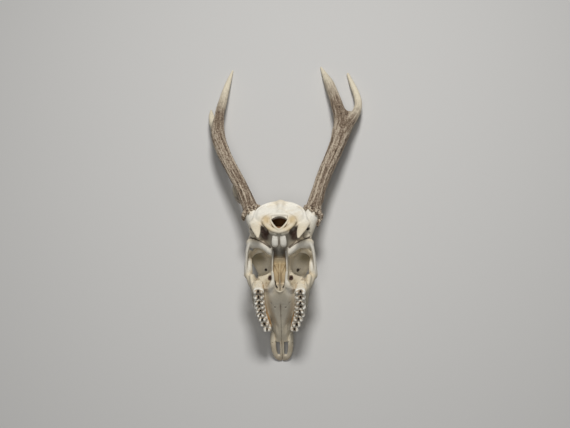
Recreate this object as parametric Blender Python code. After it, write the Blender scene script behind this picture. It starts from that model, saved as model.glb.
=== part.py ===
"""Skull of a sika stag with its antlers, life size, lying upside down on nose and antler tips.

Every bone is modelled in the skull's own frame and the whole skull is turned once at the end.
A place is given as (side, back, up) in millimetres: side is the animal's right, back is measured
from the tip of the nose bones towards the neck, and up is measured from the palate towards the
forehead. The lying skull stands on the plane z = 0.
"""
import math

import bmesh
import bpy
from mathutils import Matrix, Vector

MM = 0.001
GAP = 0.3
LEFT, RIGHT = -1, 1
SIDES = {"left": LEFT, "right": RIGHT}

# Driving sizes of the skull, in millimetres
FORAMEN_HALF_WIDTH = 12.5
FORAMEN_HALF_HEIGHT = 10.5
ORBIT_BACK = 149.0
ORBIT_UP = 63.0
ORBIT_RING_RADIUS = 23.5
CHEEK_HALF_WIDTH = 53.5
PTERYGOID_HALF_SPACING = 11.2
PALATE_UP = 6.5

# How the skull lies: the nose line rises from the floor by this angle
FLOOR_TILT = math.radians(50.0)
FLOOR_HEIGHT = 2.6
CENTRE_SIDE = 3.0
CENTRE_ALONG = -271.0

# Colours of the bones and antlers
BONE = (0.80, 0.74, 0.60)
PALE_BONE = (0.86, 0.82, 0.72)
GREY_BONE = (0.66, 0.62, 0.53)
TOOTH_BONE = (0.78, 0.68, 0.50)
ANTLER = (0.28, 0.20, 0.14)
IVORY = (0.78, 0.70, 0.54)


def clear_scene():
    for obj in list(bpy.data.objects):
        bpy.data.objects.remove(obj, do_unlink=True)


def new_collection(name):
    collection = bpy.data.collections.new(name)
    bpy.context.scene.collection.children.link(collection)
    return collection


def material(name, colour, roughness):
    made = bpy.data.materials.new(name)
    made.use_nodes = True
    shader = made.node_tree.nodes["Principled BSDF"]
    shader.inputs["Base Color"].default_value = (*colour, 1.0)
    shader.inputs["Roughness"].default_value = roughness
    shader.inputs["Metallic"].default_value = 0.0
    return made


def place(side, back, up):
    """A point of the skull's frame: x to the animal's right, y forward, z to its forehead."""
    return Vector((side, -back, up)) * MM


def signed_power(value, exponent):
    return math.copysign(abs(value) ** exponent, value)


def smooth_stations(stations, steps):
    """Pass a smooth curve through the stations, with a number of steps between neighbours."""
    rows = []
    last = len(stations) - 1
    for index in range(last):
        before = stations[max(index - 1, 0)]
        start = stations[index]
        end = stations[index + 1]
        after = stations[min(index + 2, last)]
        for step in range(steps):
            t = step / steps
            row = []
            for p0, p1, p2, p3 in zip(before, start, end, after):
                bend = 2 * p0 - 5 * p1 + 4 * p2 - p3
                twist = 3 * p1 - p0 - 3 * p2 + p3
                row.append(0.5 * (2 * p1 + (p2 - p0) * t + bend * t * t + twist * t ** 3))
            rows.append(tuple(row))
    rows.append(tuple(stations[last]))
    return rows


def loft(name, rings, closed=False):
    """Skin a row of rings with the same number of points into one closed body."""
    mesh = bpy.data.meshes.new(name)
    shape = bmesh.new()
    grid = [[shape.verts.new(point) for point in ring] for ring in rings]
    around = len(rings[0])
    spans = len(rings) if closed else len(rings) - 1
    for row in range(spans):
        near = grid[row]
        far = grid[(row + 1) % len(rings)]
        for index in range(around):
            after = (index + 1) % around
            shape.faces.new((near[index], near[after], far[after], far[index]))
    if not closed:
        shape.faces.new(grid[0][::-1])
        shape.faces.new(grid[-1])
    bmesh.ops.recalc_face_normals(shape, faces=shape.faces)
    shape.to_mesh(mesh)
    shape.free()
    obj = bpy.data.objects.new(name, mesh)
    WORKSHOP.objects.link(obj)
    return obj


def trunk(name, stations, around=16, steps=1):
    """A bone across the midline: (back, low, high, width low, middle and high, squareness)."""
    rings = []
    for back, low, high, wide_low, wide_mid, wide_high, power in smooth_stations(stations, steps):
        ring = []
        for index in range(around):
            angle = 2 * math.pi * (index + 0.5) / around
            across = signed_power(math.cos(angle), 2 / power)
            rise = signed_power(math.sin(angle), 2 / power)
            spread = (wide_high - wide_low) / 2
            crown = (wide_high + wide_low) / 2 - wide_mid
            width = wide_mid + spread * rise + crown * rise * rise
            up = (low + high) / 2 + (high - low) / 2 * rise
            ring.append(place(width * across, back, up))
        rings.append(ring)
    return loft(name, rings)


def bar_rings(stations, wide, around, steps, power, closed):
    """Rings along a bent line: (side, back, up, half width along the wide way, half thickness)."""
    rows = smooth_stations(stations + stations[:1] if closed else stations, steps)
    if closed:
        rows = rows[:-1]
    centres = [place(*row[:3]) for row in rows]
    wide_way = Vector((wide[0], -wide[1], wide[2])).normalized()
    rings = []
    count = len(rows)
    for index, row in enumerate(rows):
        ahead = centres[(index + 1) % count] if closed else centres[min(index + 1, count - 1)]
        behind = centres[index - 1] if closed else centres[max(index - 1, 0)]
        along = (ahead - behind).normalized()
        broad = (wide_way - along * wide_way.dot(along)).normalized()
        thin = along.cross(broad)
        ring = []
        for step in range(around):
            angle = 2 * math.pi * (step + 0.5) / around
            across = signed_power(math.cos(angle), 2 / power) * row[3] * MM
            rise = signed_power(math.sin(angle), 2 / power) * row[4] * MM
            ring.append(centres[index] + broad * across + thin * rise)
        rings.append(ring)
    return rings


def bar(name, stations, wide, around=10, steps=3, power=2.2, closed=False):
    """A bone along a bent line."""
    return loft(name, bar_rings(stations, wide, around, steps, power, closed), closed)


def blob(name, centre, radii, around=12, layers=8, turn=(0.0, 0.0, 0.0)):
    """An egg-shaped lump or hollow."""
    mesh = bpy.data.meshes.new(name)
    shape = bmesh.new()
    bmesh.ops.create_uvsphere(shape, u_segments=around, v_segments=layers, radius=1.0)
    size = Matrix.Diagonal((radii[0] * MM, radii[1] * MM, radii[2] * MM, 1.0))
    spin = Matrix.Rotation(math.radians(turn[0]), 4, "X") @ Matrix.Rotation(math.radians(turn[2]), 4, "Z")
    bmesh.ops.transform(shape, matrix=Matrix.Translation(place(*centre)) @ spin @ size, verts=shape.verts)
    shape.to_mesh(mesh)
    shape.free()
    obj = bpy.data.objects.new(name, mesh)
    WORKSHOP.objects.link(obj)
    return obj


def prism(name, outline, half_width):
    """A block across the midline with a side-view outline of (back, up) corners."""
    rings = []
    for side in (-half_width, half_width):
        rings.append([place(side, back, up) for back, up in outline])
    return loft(name, rings)


def block(name, low, high, pivot=(0.0, 0.0, 0.0), pitch=0.0, lean=0.0, grow=0.0):
    """A box from low to high, in millimetres, grown on all sides and turned about its pivot."""
    mesh = bpy.data.meshes.new(name)
    shape = bmesh.new()
    bmesh.ops.create_cube(shape, size=1.0)
    low = [value - grow for value in low]
    high = [value + grow for value in high]
    size = Matrix.Diagonal([(b - a) * MM for a, b in zip(low, high)] + [1.0])
    middle = place(*[(a + b) / 2 for a, b in zip(low, high)])
    hinge = place(*pivot)
    turn = Matrix.Rotation(math.radians(pitch), 4, "X") @ Matrix.Rotation(math.radians(lean), 4, "Y")
    move = Matrix.Translation(hinge) @ turn @ Matrix.Translation(middle - hinge)
    bmesh.ops.transform(shape, matrix=move @ size, verts=shape.verts)
    shape.to_mesh(mesh)
    shape.free()
    obj = bpy.data.objects.new(name, mesh)
    WORKSHOP.objects.link(obj)
    return obj


def keep_largest(mesh):
    """Drop loose scraps and sealed hollows: only the largest closed surface stays."""
    shape = bmesh.new()
    shape.from_mesh(mesh)
    left = set(shape.verts)
    groups = []
    while left:
        seed = left.pop()
        group = {seed}
        front = [seed]
        while front:
            vert = front.pop()
            for edge in vert.link_edges:
                other = edge.other_vert(vert)
                if other not in group:
                    group.add(other)
                    front.append(other)
        left -= group
        groups.append(group)

    def span(group):
        size = 1.0
        for axis in range(3):
            values = [vert.co[axis] for vert in group]
            size *= max(values) - min(values)
        return size

    groups.sort(key=span, reverse=True)
    spare = [vert for group in groups[1:] for vert in group]
    if spare:
        bmesh.ops.delete(shape, geom=spare, context="VERTS")
    shape.to_mesh(mesh)
    shape.free()


def combine(target, others, operation, whole=True):
    """Join, cut or trim a body with others in one Boolean, and use the others up.

    The exact solver returns nothing where this many bones cross at once, so the manifold one is used.
    """
    batch = bpy.data.collections.new("batch")
    bpy.context.scene.collection.children.link(batch)
    for other in others:
        batch.objects.link(other)
    modifier = target.modifiers.new("boolean", "BOOLEAN")
    modifier.operation = operation
    modifier.solver = "MANIFOLD"
    modifier.operand_type = "COLLECTION"
    modifier.collection = batch
    bpy.context.view_layer.update()
    evaluated = target.evaluated_get(bpy.context.evaluated_depsgraph_get())
    mesh = bpy.data.meshes.new_from_object(evaluated)
    target.modifiers.clear()
    target.data = mesh
    for other in others:
        bpy.data.objects.remove(other, do_unlink=True)
    bpy.data.collections.remove(batch)
    if whole:
        keep_largest(target.data)
    return target


def join(name, pieces):
    body = pieces[0]
    body.name = name
    if len(pieces) > 1:
        combine(body, pieces[1:], "UNION")
    return body


def copy_of(obj, name):
    twin = bpy.data.objects.new(name, obj.data.copy())
    WORKSHOP.objects.link(twin)
    return twin


def take(rest, name, low, high, **turn):
    """Part a bone off the rest of the skull with a thin cut all round the given box."""
    bone = copy_of(rest, name)
    combine(bone, [block("region", low, high, **turn)], "INTERSECT")
    combine(rest, [block("kerf", low, high, grow=GAP, **turn)], "DIFFERENCE", whole=False)
    return bone


def both(make):
    """Make a paired piece on either side of the midline."""
    return [make(side) for side in (LEFT, RIGHT)]


def braincase_pieces():
    vault = trunk("vault", [
        (164, 62, 106, 20, 25, 20, 2.2),
        (182, 50, 114, 28, 34, 28, 2.3),
        (196, 45, 114, 30, 38.5, 32, 2.4),
        (214, 43, 112, 33, 40.5, 34, 2.4),
        (232, 43, 107, 36, 41, 33, 2.4),
        (241, 46, 101, 35, 39, 31, 2.4),
        (246, 50, 98, 31, 35, 28, 2.4),
    ], around=16)
    crest = bar("nuchal_crest", [
        (-40.5, 233, 56, 4.5, 3.5), (-39.5, 238, 73, 4.2, 2.8), (-34, 241.5, 88, 4.2, 2.8),
        (-19, 244.5, 98, 4.2, 2.8), (0, 246, 99.5, 4.5, 3), (19, 244.5, 98, 4.2, 2.8),
        (34, 241.5, 88, 4.2, 2.8), (39.5, 238, 73, 4.2, 2.8), (40.5, 233, 56, 4.5, 3.5),
    ], wide=(0, 1, 0), around=6, steps=2)
    knob = blob("nuchal_knob", (0, 247.5, 99.5), (6, 4.5, 5.5), around=8, layers=6)
    ridge = bar("median_ridge", [(0, 247.5, 95, 3, 3), (0, 246.5, 82, 2.5, 2.5), (0, 246, 68, 3, 3)],
                wide=(1, 0, 0), around=6, steps=1)
    floor = trunk("skull_base", [
        (176, 36, 52, 6, 8.5, 10, 2.4),
        (196, 35, 54, 9, 10.5, 16, 2.4),
        (210, 35, 56, 11, 13, 20, 2.6),
        (224, 34, 58, 12.5, 14, 22, 2.6),
        (234, 35.5, 62, 11, 15, 24, 2.4),
        (241, 43, 66, 12, 18, 24, 2.2),
    ], around=16)
    return [vault, crest, knob, ridge, floor]


def occiput_pieces(side):
    condyle = bar("condyle", [
        (side * 15.5, 244.8, 65, 3, 2.5), (side * 19.2, 244.8, 60.5, 5.0, 3.8),
        (side * 21.4, 244.2, 54.5, 5.4, 4.0), (side * 22, 243.2, 51, 4.6, 3.2),
    ], wide=(side, 0, 0.5), around=8, steps=1)
    corner = blob("condyle_corner", (side * 24.5, 243.6, 51.3), (3.4, 3.4, 3.4), around=8, layers=6)
    lower = bar("condyle_lower", [
        (side * 21.5, 241.5, 49, 3.6, 3.2), (side * 15.5, 238.6, 43, 4.4, 3.2),
        (side * 8.5, 236.8, 37.6, 4.0, 3.0), (side * 0.6, 236, 34.4, 3.6, 2.8),
    ], wide=(side, 0, -0.6), around=8, steps=1)
    paracondyle = bar("jugular_process", [
        (side * 38, 232, 70, 6, 6), (side * 37.2, 236, 56, 8.4, 3.8), (side * 35.2, 238.5, 40, 7.2, 2.8),
        (side * 32.4, 239.5, 26, 4.8, 2.2), (side * 30.5, 239.5, 14.5, 2.0, 1.6),
    ], wide=(1, 0, 0), around=8, steps=1)
    ear = bar("ear_tube", [(side * 29, 223, 58, 7, 6), (side * 38, 223, 60, 7, 6),
                           (side * 43.5, 222, 60, 5.5, 5.5)], wide=(0, 1, 0), around=8, steps=1)
    mastoid = blob("mastoid", (side * 42.5, 234, 58), (5, 5, 7.4), around=8, layers=6)
    pad = bar("muscle_pad", [
        (side * 5.8, 227, 34.6, 4.6, 2.4), (side * 6.4, 221, 32.6, 5.0, 2.8), (side * 6.5, 214.5, 31.8, 5.0, 3.4),
        (side * 6.5, 211, 33.2, 3.6, 2.8),
    ], wide=(1, 0, 0), around=8, steps=1)
    plate = bar("small_plate", [(side * 4.8, 232, 34.8, 4.4, 2.6), (side * 14.5, 233.5, 39.4, 3.8, 2.4)],
                wide=(0, 1, 0), around=6, steps=1)
    return [condyle, corner, lower, paracondyle, ear, mastoid, pad, plate]


def orbit_ring(side):
    """The rim of the eye socket, nearly round, set further out at the cheek than at the nose."""
    stations = []
    count = 16
    for index in range(count):
        angle = 2 * math.pi * index / count
        back = ORBIT_BACK + ORBIT_RING_RADIUS * math.sin(angle)
        up = ORBIT_UP - ORBIT_RING_RADIUS * math.cos(angle)
        front = max(0.0, -math.sin(angle))
        rear = max(0.0, math.sin(angle))
        upper = max(0.0, -math.cos(angle))
        lower = max(0.0, math.cos(angle))
        out = CHEEK_HALF_WIDTH - 18.5 * front - 2.0 * rear - 2.5 * upper - 1.6 * lower
        stations.append((side * out, back, up, 3.8 + 3.0 * lower, 3.3))
    return bar("orbit_ring", stations, wide=(1, 0, 0), around=8, steps=1, closed=True)


def cheek_pieces(side):
    ring = orbit_ring(side)
    root = bar("cheek_root", [
        (side * 31, 108, 20, 14, 6.5), (side * 35.5, 119, 21, 14, 6), (side * 40, 130, 26, 13, 5.6),
        (side * 47.5, 140, 33, 10, 5), (side * 52, 151, 38, 6, 4.6),
    ], wide=(0, -0.3, 1), around=8, steps=1)
    arch = bar("cheek_arch", [
        (side * 53, 150, 39, 5.5, 4.2), (side * 54.5, 163, 42, 6, 3.1), (side * 53.5, 178, 45, 6, 2.7),
        (side * 52, 192, 48, 5.8, 2.9), (side * 49, 204, 51, 6.6, 3.8), (side * 42, 213, 55, 7, 6),
    ], wide=(0, 0, 1), around=8, steps=1)
    hinge_bar = bar("jaw_hinge_bar", [
        (side * 50.5, 200.5, 51, 6.6, 3.2), (side * 46, 203, 50, 9.0, 4.2), (side * 35, 203.5, 49, 8, 5.2),
        (side * 26, 200.5, 48, 6.9, 5.8), (side * 16, 193, 47, 7, 7), (side * 8, 188, 46, 7, 7),
    ], wide=(0, 1, 0), around=8, steps=1)
    rear_bar = bar("postorbital_bar", [
        (side * 52.5, 165, 47, 4.8, 3), (side * 49.5, 168, 62, 4.8, 3.1), (side * 43.5, 168.5, 76, 5, 3.5),
        (side * 35, 168.5, 81, 5, 4.4), (side * 27, 171.5, 78, 5, 4.8), (side * 18, 175, 62, 5, 6),
    ], wide=(0, 1, 0), around=8, steps=1)
    return [ring, root, arch, hinge_bar, rear_bar]


def rostrum():
    """The tube of the nose, open in front and cut back on both sides below the nose bones."""
    tube_of_nose = trunk("rostrum", [
        (42, 5, 50, 9, 16.5, 12, 3.0),
        (50, 3.5, 54, 8.4, 17, 12.5, 3.0),
        (60, 3, 59, 9.2, 18.5, 13, 2.8),
        (72, 3, 65, 11, 20.5, 14, 2.4),
        (84, 3, 70, 16, 25, 15, 2.4),
        (98, 3, 76, 24, 31, 17, 2.4),
        (112, 3, 81, 30, 37, 20, 2.4),
        (126, 3, 87, 33, 41, 28, 2.4),
        (138, 4, 92, 33, 42, 34, 2.4),
        (149, 7, 92, 28, 38, 34, 2.4),
    ])
    hollow = trunk("nose_hollow", [
        (30, 9, 46, 6, 13, 9, 2.4),
        (46, 9, 49, 6, 13.5, 9.5, 2.4),
        (62, 9, 55, 6, 15, 10, 2.4),
        (80, 10, 60, 8, 17, 10, 2.4),
        (104, 24, 50, 3, 6, 3, 2.2),
    ], around=12)
    notch = prism("nose_notch", [(20, 12), (32, 16), (46, 27), (62, 50), (36, 42), (20, 40)], 40)
    combine(tube_of_nose, [hollow, notch], "DIFFERENCE")
    floor = trunk("nose_floor", [
        (40, 4.4, 8.5, 9.5, 11, 10, 3.0), (46, 3.8, 9, 8.4, 9.5, 9, 3.0), (52, 3, 9.5, 8.0, 8.6, 8.6, 3.0),
        (60, 3, 10, 8.8, 9.2, 9.2, 3.0), (74, 6, 11, 9, 9.5, 9.5, 3.0),
    ], around=12)
    return combine(tube_of_nose, [floor], "UNION")


def face_pieces():
    forehead = trunk("forehead", [
        (100, 54, 77, 20, 26, 17, 2.4),
        (112, 57, 83, 25, 32, 22, 2.5),
        (126, 62, 91, 34, 40, 29, 2.6),
        (140, 67, 98, 39, 47.5, 35, 2.6),
        (152, 72, 103, 43, 53, 38, 2.6),
        (162, 77, 109, 40, 48, 38, 2.5),
        (176, 78, 114, 36, 41, 34, 2.4),
        (190, 76, 116, 34, 39, 32, 2.2),
        (204, 74, 113, 30, 36, 28, 2.2),
    ])
    core = trunk("orbit_core", [
        (96, 14, 72, 20, 24, 20, 2.4),
        (112, 14, 80, 22, 26, 24, 2.4),
        (128, 18, 84, 20, 25, 28, 2.4),
        (142, 24, 86, 15, 21, 30, 2.4),
        (156, 28, 88, 12, 18, 30, 2.4),
        (170, 31, 90, 11, 17, 28, 2.4),
        (184, 34, 92, 11, 20, 28, 2.3),
        (198, 36, 92, 14, 26, 30, 2.2),
    ])
    return [rostrum(), forehead, core]


def paired_face_pieces(side):
    ridge = bar("tooth_ridge", [
        (side * 21.5, 74, 8, 6.5, 8), (side * 25, 86, 7, 8, 9), (side * 30, 102, 8, 9, 10),
        (side * 33.5, 122, 9, 10, 11), (side * 34.3, 138, 9, 9.5, 11), (side * 34, 152, 12, 9, 10),
        (side * 34, 158, 20, 7.5, 7.5),
    ], wide=(1, 0, 0), around=10, steps=1, power=2.6)
    malar = bar("malar_side", [
        (side * 36, 116, 12, 9, 5), (side * 39, 130, 17, 10, 5.5), (side * 42.5, 143, 25, 10, 5),
        (side * 45, 152, 32, 7, 4.5),
    ], wide=(0, 0, 1), around=8, steps=1)
    pterygoid = bar("pterygoid", [
        (side * 15, 144, 17, 10, 3), (side * PTERYGOID_HALF_SPACING, 156, 24, 12, 2.1),
        (side * PTERYGOID_HALF_SPACING, 170, 28, 12, 1.9), (side * 11, 184, 33, 10, 1.9),
        (side * 10, 198, 39, 8, 2),
    ], wide=(0, 0, 1), around=8, steps=1)
    lump = blob("palatine_corner", (side * 15.5, 147, 9), (8, 8.5, 6), around=8, layers=6)
    edge = bar("notch_rim", [
        (side * 11, 172, 16.5, 2.2, 1.8), (side * 10.4, 162, 12, 2.4, 2.0), (side * 11.5, 153, 8.6, 3.2, 2.4),
        (side * 14, 146, 8, 3.2, 2.4),
    ], wide=(1, 0, 0), around=6, steps=1)
    rim = bar("premaxilla_rim", [
        (side * 2.4, 3.0, 4, 2.4, 2.4), (side * 7, 5.4, 4, 3.6, 2.4), (side * 10.4, 11, 4.2, 4.0, 2.5),
        (side * 12.4, 18, 4.6, 3.9, 2.4), (side * 13.6, 26, 5.0, 4.1, 2.3), (side * 14.2, 33, 6.0, 4.5, 2.3),
        (side * 14.2, 40, 9.0, 4.6, 2.3), (side * 14.8, 48, 15, 4, 2.4),
    ], wide=(1, 0, 0), around=8, steps=1)
    front = blob("premaxilla_tip", (side * 4.4, 9, 4), (4.6, 4.6, 2.3), around=8, layers=6)
    wing = bar("premaxilla_wing", [
        (side * 15.4, 20, 6.5, 3, 1.7), (side * 16.2, 32, 11, 5, 1.7), (side * 15.8, 46, 20, 6, 2.3),
        (side * 15.8, 60, 31, 7, 2), (side * 14, 78, 48, 7, 2.2),
    ], wide=(0, -0.6, 1), around=8, steps=1)
    process = bar("palatine_process", [
        (side * 1.8, 4, 4, 1.65, 2.2), (side * 1.8, 20, 4.5, 1.65, 2), (side * 1.9, 44, 6.2, 1.8, 2.2),
    ], wide=(1, 0, 0), around=8, steps=1)
    return [ridge, malar, pterygoid, lump, edge, rim, front, wing, process]


def choana_pieces():
    """The shallow trough between the pterygoid plates, with the vomer standing in it."""
    fill = trunk("choana_fill", [
        (140, 20, 50, 10, 12, 12, 3.0), (160, 22, 52, 11.5, 12, 12, 3.0),
        (172, 26.5, 53, 11, 11.6, 12, 3.0), (186, 33, 54, 10, 11, 12, 3.0),
    ], around=12)
    vomer = bar("vomer", [
        (0, 140, 18, 6, 1.3), (0, 160, 20.5, 5, 1.3), (0, 169, 25, 4, 1.6), (0, 178, 30, 3, 2.6),
    ], wide=(0, 0, 1), around=6, steps=1)
    return [fill, vomer]


def sockets():
    """The round hollows of the eyes, cut before the thin rims and cheeks are added."""
    return both(lambda side: blob("socket", (side * 39, 151, 60), (23, 23.5, 21.5), around=14, layers=10))


def foramen_rim():
    """The raised V-shaped lip under the neck opening."""
    return bar("foramen_rim", [
        (-14.5, 247.3, 59, 1.6, 1.6), (-13.2, 245, 52, 1.6, 1.6), (-9.4, 242.2, 45, 1.7, 1.7),
        (-4.6, 240, 38.8, 1.9, 1.9), (0, 239, 35.6, 2.2, 2.1), (4.6, 240, 38.8, 1.9, 1.9),
        (9.4, 242.2, 45, 1.7, 1.7), (13.2, 245, 52, 1.6, 1.6), (14.5, 247.3, 59, 1.6, 1.6),
    ], wide=(0, 0.6, -1), around=6, steps=1)


def skull_hollows():
    neck = bar("foramen_cut", [
        (0, 268, 41, FORAMEN_HALF_WIDTH + 2, FORAMEN_HALF_HEIGHT + 1),
        (0, 243.5, 52, FORAMEN_HALF_WIDTH, FORAMEN_HALF_HEIGHT),
        (0, 222, 62, FORAMEN_HALF_WIDTH + 3, FORAMEN_HALF_HEIGHT),
    ], wide=(1, 0, 0), around=14, steps=1, power=2.6)
    brain = blob("brain_hollow", (0, 212, 73), (24, 28, 20), turn=(-25, 0, 0))
    vault = trunk("palate_vault", [
        (70, -20, 2.6, 9, 8, 6, 2.2),
        (92, -20, 5.5, 20, 18, 11, 2.2),
        (112, -20, PALATE_UP, 26, 24, 14, 2.2),
        (134, -20, PALATE_UP, 28, 26, 15, 2.2),
        (142, -20, PALATE_UP, 28, 26, 15, 2.2),
    ], around=12)
    notch = blob("palate_notch", (0, 156.5, 5), (7.6, 13.8, 7), around=12, layers=8)
    ear_pit = both(lambda side: blob("ear_pit", (side * 22, 229, 39), (7, 9, 13), around=8, layers=6))
    meatus = both(lambda side: blob("meatus", (side * 46, 223, 60), (6, 3, 3), around=8, layers=6))
    tuber_gap = both(lambda side: blob("tuber_gap", (side * 21.5, 161, 15), (6.2, 13, 13),
                                       around=10, layers=8))
    return [neck, brain, vault, notch] + ear_pit + meatus + tuber_gap


# Cheek teeth, front to back: name, back, side, length, width, lobes
TEETH = [
    ("p2", 76.3, 21.5, 9.6, 12.5, 1),
    ("p3", 86.6, 25.0, 10.6, 14.2, 1),
    ("p4", 97.4, 28.0, 10.6, 15.4, 1),
    ("m1", 110.5, 30.4, 15.2, 16.4, 2),
    ("m2", 126.8, 31.7, 17.2, 16.8, 2),
    ("m3", 145.6, 32.0, 20.4, 16.4, 2),
]
CROWN_TIP = -11.8
CROWN_ROOT = 6.0
CUSP_HEIGHT = 4.5


def tooth_cusps(side):
    """Each lobe of a tooth is a pair of tapered cusps, a taller one on the cheek side."""
    cusps = []
    for name, back, middle, length, width, lobes in TEETH:
        lobe = length / lobes
        for index in range(lobes):
            centre = back + (index - (lobes - 1) / 2) * lobe
            for outward, tip in ((1, CROWN_TIP), (-1, CROWN_TIP + 2.5)):
                across = middle + outward * width * 0.225
                cusps.append(bar(name, [
                    (side * across, centre, CROWN_ROOT, width * 0.32, lobe * 0.54),
                    (side * across, centre, tip + CUSP_HEIGHT, width * 0.31, lobe * 0.47),
                    (side * (across + outward * 0.5), centre, tip, width * 0.12, lobe * 0.22),
                ], wide=(1, 0, 0), around=6, steps=1, power=2.0))
    return cusps


# Antler lines: (side, back, up, radius), from the burr to the tip
PEDICLE = [(31, 184, 100, 17), (40, 197, 113, 15.2), (49, 210.5, 126.5, 14)]
BEAMS = {
    "left": [
        (-50.5, 211, 127, 12.0), (-65, 231, 161, 11.0), (-85, 250, 196, 10.8),
        (-103.5, 267, 231, 11.6), (-116, 284, 266, 11.4), (-117, 300, 302, 8.6),
        (-116.5, 306, 316, 8.1), (-113.5, 315, 338, 7.4), (-108, 329.5, 374, 5.4),
        (-101, 343, 410.8, 2.4),
    ],
    "right": [
        (50, 211, 127, 12.4), (59.5, 231.5, 162, 11.2), (72, 250.5, 197, 11.8),
        (86.5, 268.5, 232, 12.8), (97.5, 285.5, 268, 13.4), (97.5, 302, 304, 11.2),
        (94, 307.5, 317, 10.2), (87.5, 318, 341, 9.3), (77, 332.5, 377.5, 7.9),
        (63, 346.5, 414.2, 2.6),
    ],
}
BROW_TINES = {
    "left": [(-60, 224, 147, 9.0), (-68, 214, 164, 8.4), (-75, 207, 182, 7.4),
             (-81.5, 202.5, 201, 6.2), (-87, 200.5, 221, 4.6), (-91, 200.5, 241.5, 2.2)],
    "right": [(57, 224, 147, 9.0), (59, 214, 164, 8.4), (61.5, 207, 182, 7.4),
              (64, 202.5, 201, 6.2), (66.5, 200.5, 221, 4.6), (68.5, 200.5, 241.5, 2.2)],
}
FORK_TINES = {
    "left": [(-116, 286, 262, 8.8), (-122, 287, 283, 8.0), (-129, 289, 303, 6.8),
             (-134, 292, 323, 5.0), (-136.5, 295.5, 341, 2.2)],
    "right": [(99, 288, 266, 11.0), (113, 295, 290, 9.0), (125.5, 302, 314, 6.8),
              (130, 309, 336, 6.0), (127.3, 317.5, 357, 5.3), (120.5, 327, 379, 4.2),
              (112.5, 338.5, 401, 2.2)],
}
# Station numbers at which the beam and its tines are parted, and where the beam leaves the burr
BEAM_CUT = 6
TINE_CUT = 2
BEAM_START = 5.0
BURR_LOBES = 13
# The bone that fills the crotch of the right fork: (side, back, up), radii
FORK_CROTCH = ((109, 299, 302), (9, 8, 8))
BURR_PROFILE = [(0.4, 13.5, 0.3), (2.5, 16.0, 1.4), (5.5, 16.8, 1.8), (8.5, 15.2, 1.3), (12.0, 12.6, 0.4)]


def tube(name, stations, around=12, first=0, last=None, lift=0.0):
    """A round, tapered antler line, or the length of it between two stations."""
    steps = 2
    rows = [(s, b, u, r, r) for s, b, u, r in stations]
    rings = bar_rings(rows, (1, 0.2, 0), around, steps, 2.0, False)
    rings = rings[first * steps:None if last is None else last * steps + 1]
    along = (rings[1][0] - rings[0][0] + rings[1][around // 2] - rings[0][around // 2]).normalized()
    rings[0] = [point + along * lift * MM for point in rings[0]]
    return loft(name, rings)


def burr(name, side):
    """The knobbly collar at the foot of the antler, square on the end of its pedicle."""
    below, top = [place(side * row[0], *row[1:3]) for row in PEDICLE[-2:]]
    axis = (top - below).normalized()
    broad = (Vector((1, 0, 0)) - axis * axis.x).normalized()
    thin = axis.cross(broad)
    rings = []
    for along, radius, depth in BURR_PROFILE:
        ring = []
        for step in range(BURR_LOBES * 2):
            angle = math.pi * step / BURR_LOBES
            reach = (radius + (depth if step % 2 else -depth)) * MM
            ring.append(top + axis * along * MM + (broad * math.cos(angle) + thin * math.sin(angle)) * reach)
        rings.append(ring)
    return loft(name, rings)


def antler(word, side):
    """One antler in four lengths, each parted from the next by a thin plane cut."""
    beam = BEAMS[word]
    brow = BROW_TINES[word]
    fork = FORK_TINES[word]
    lower = [
        tube("beam", beam, last=BEAM_CUT, lift=BEAM_START),
        burr("burr", side),
        tube("brow_stub", brow, 10, last=TINE_CUT),
        tube("fork_stub", fork, 10, last=TINE_CUT),
    ]
    if side == RIGHT:
        lower.append(blob("fork_crotch", *FORK_CROTCH, around=8, layers=6))
    prefix = "antler_" + word
    return [
        (join(prefix + "_beam", lower), "antler"),
        (tube(prefix + "_brow_tine", brow, 10, first=TINE_CUT, lift=GAP), "ivory"),
        (tube(prefix + "_fork_tine", fork, 10, first=TINE_CUT, lift=GAP), "ivory"),
        (tube(prefix + "_upper_beam", beam, first=BEAM_CUT, lift=GAP), "antler"),
    ]


def pedicle(side, grow=0.0):
    stations = [(side * s, b, u, r + grow) for s, b, u, r in PEDICLE]
    return tube("pedicle", stations, 14)


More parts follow.
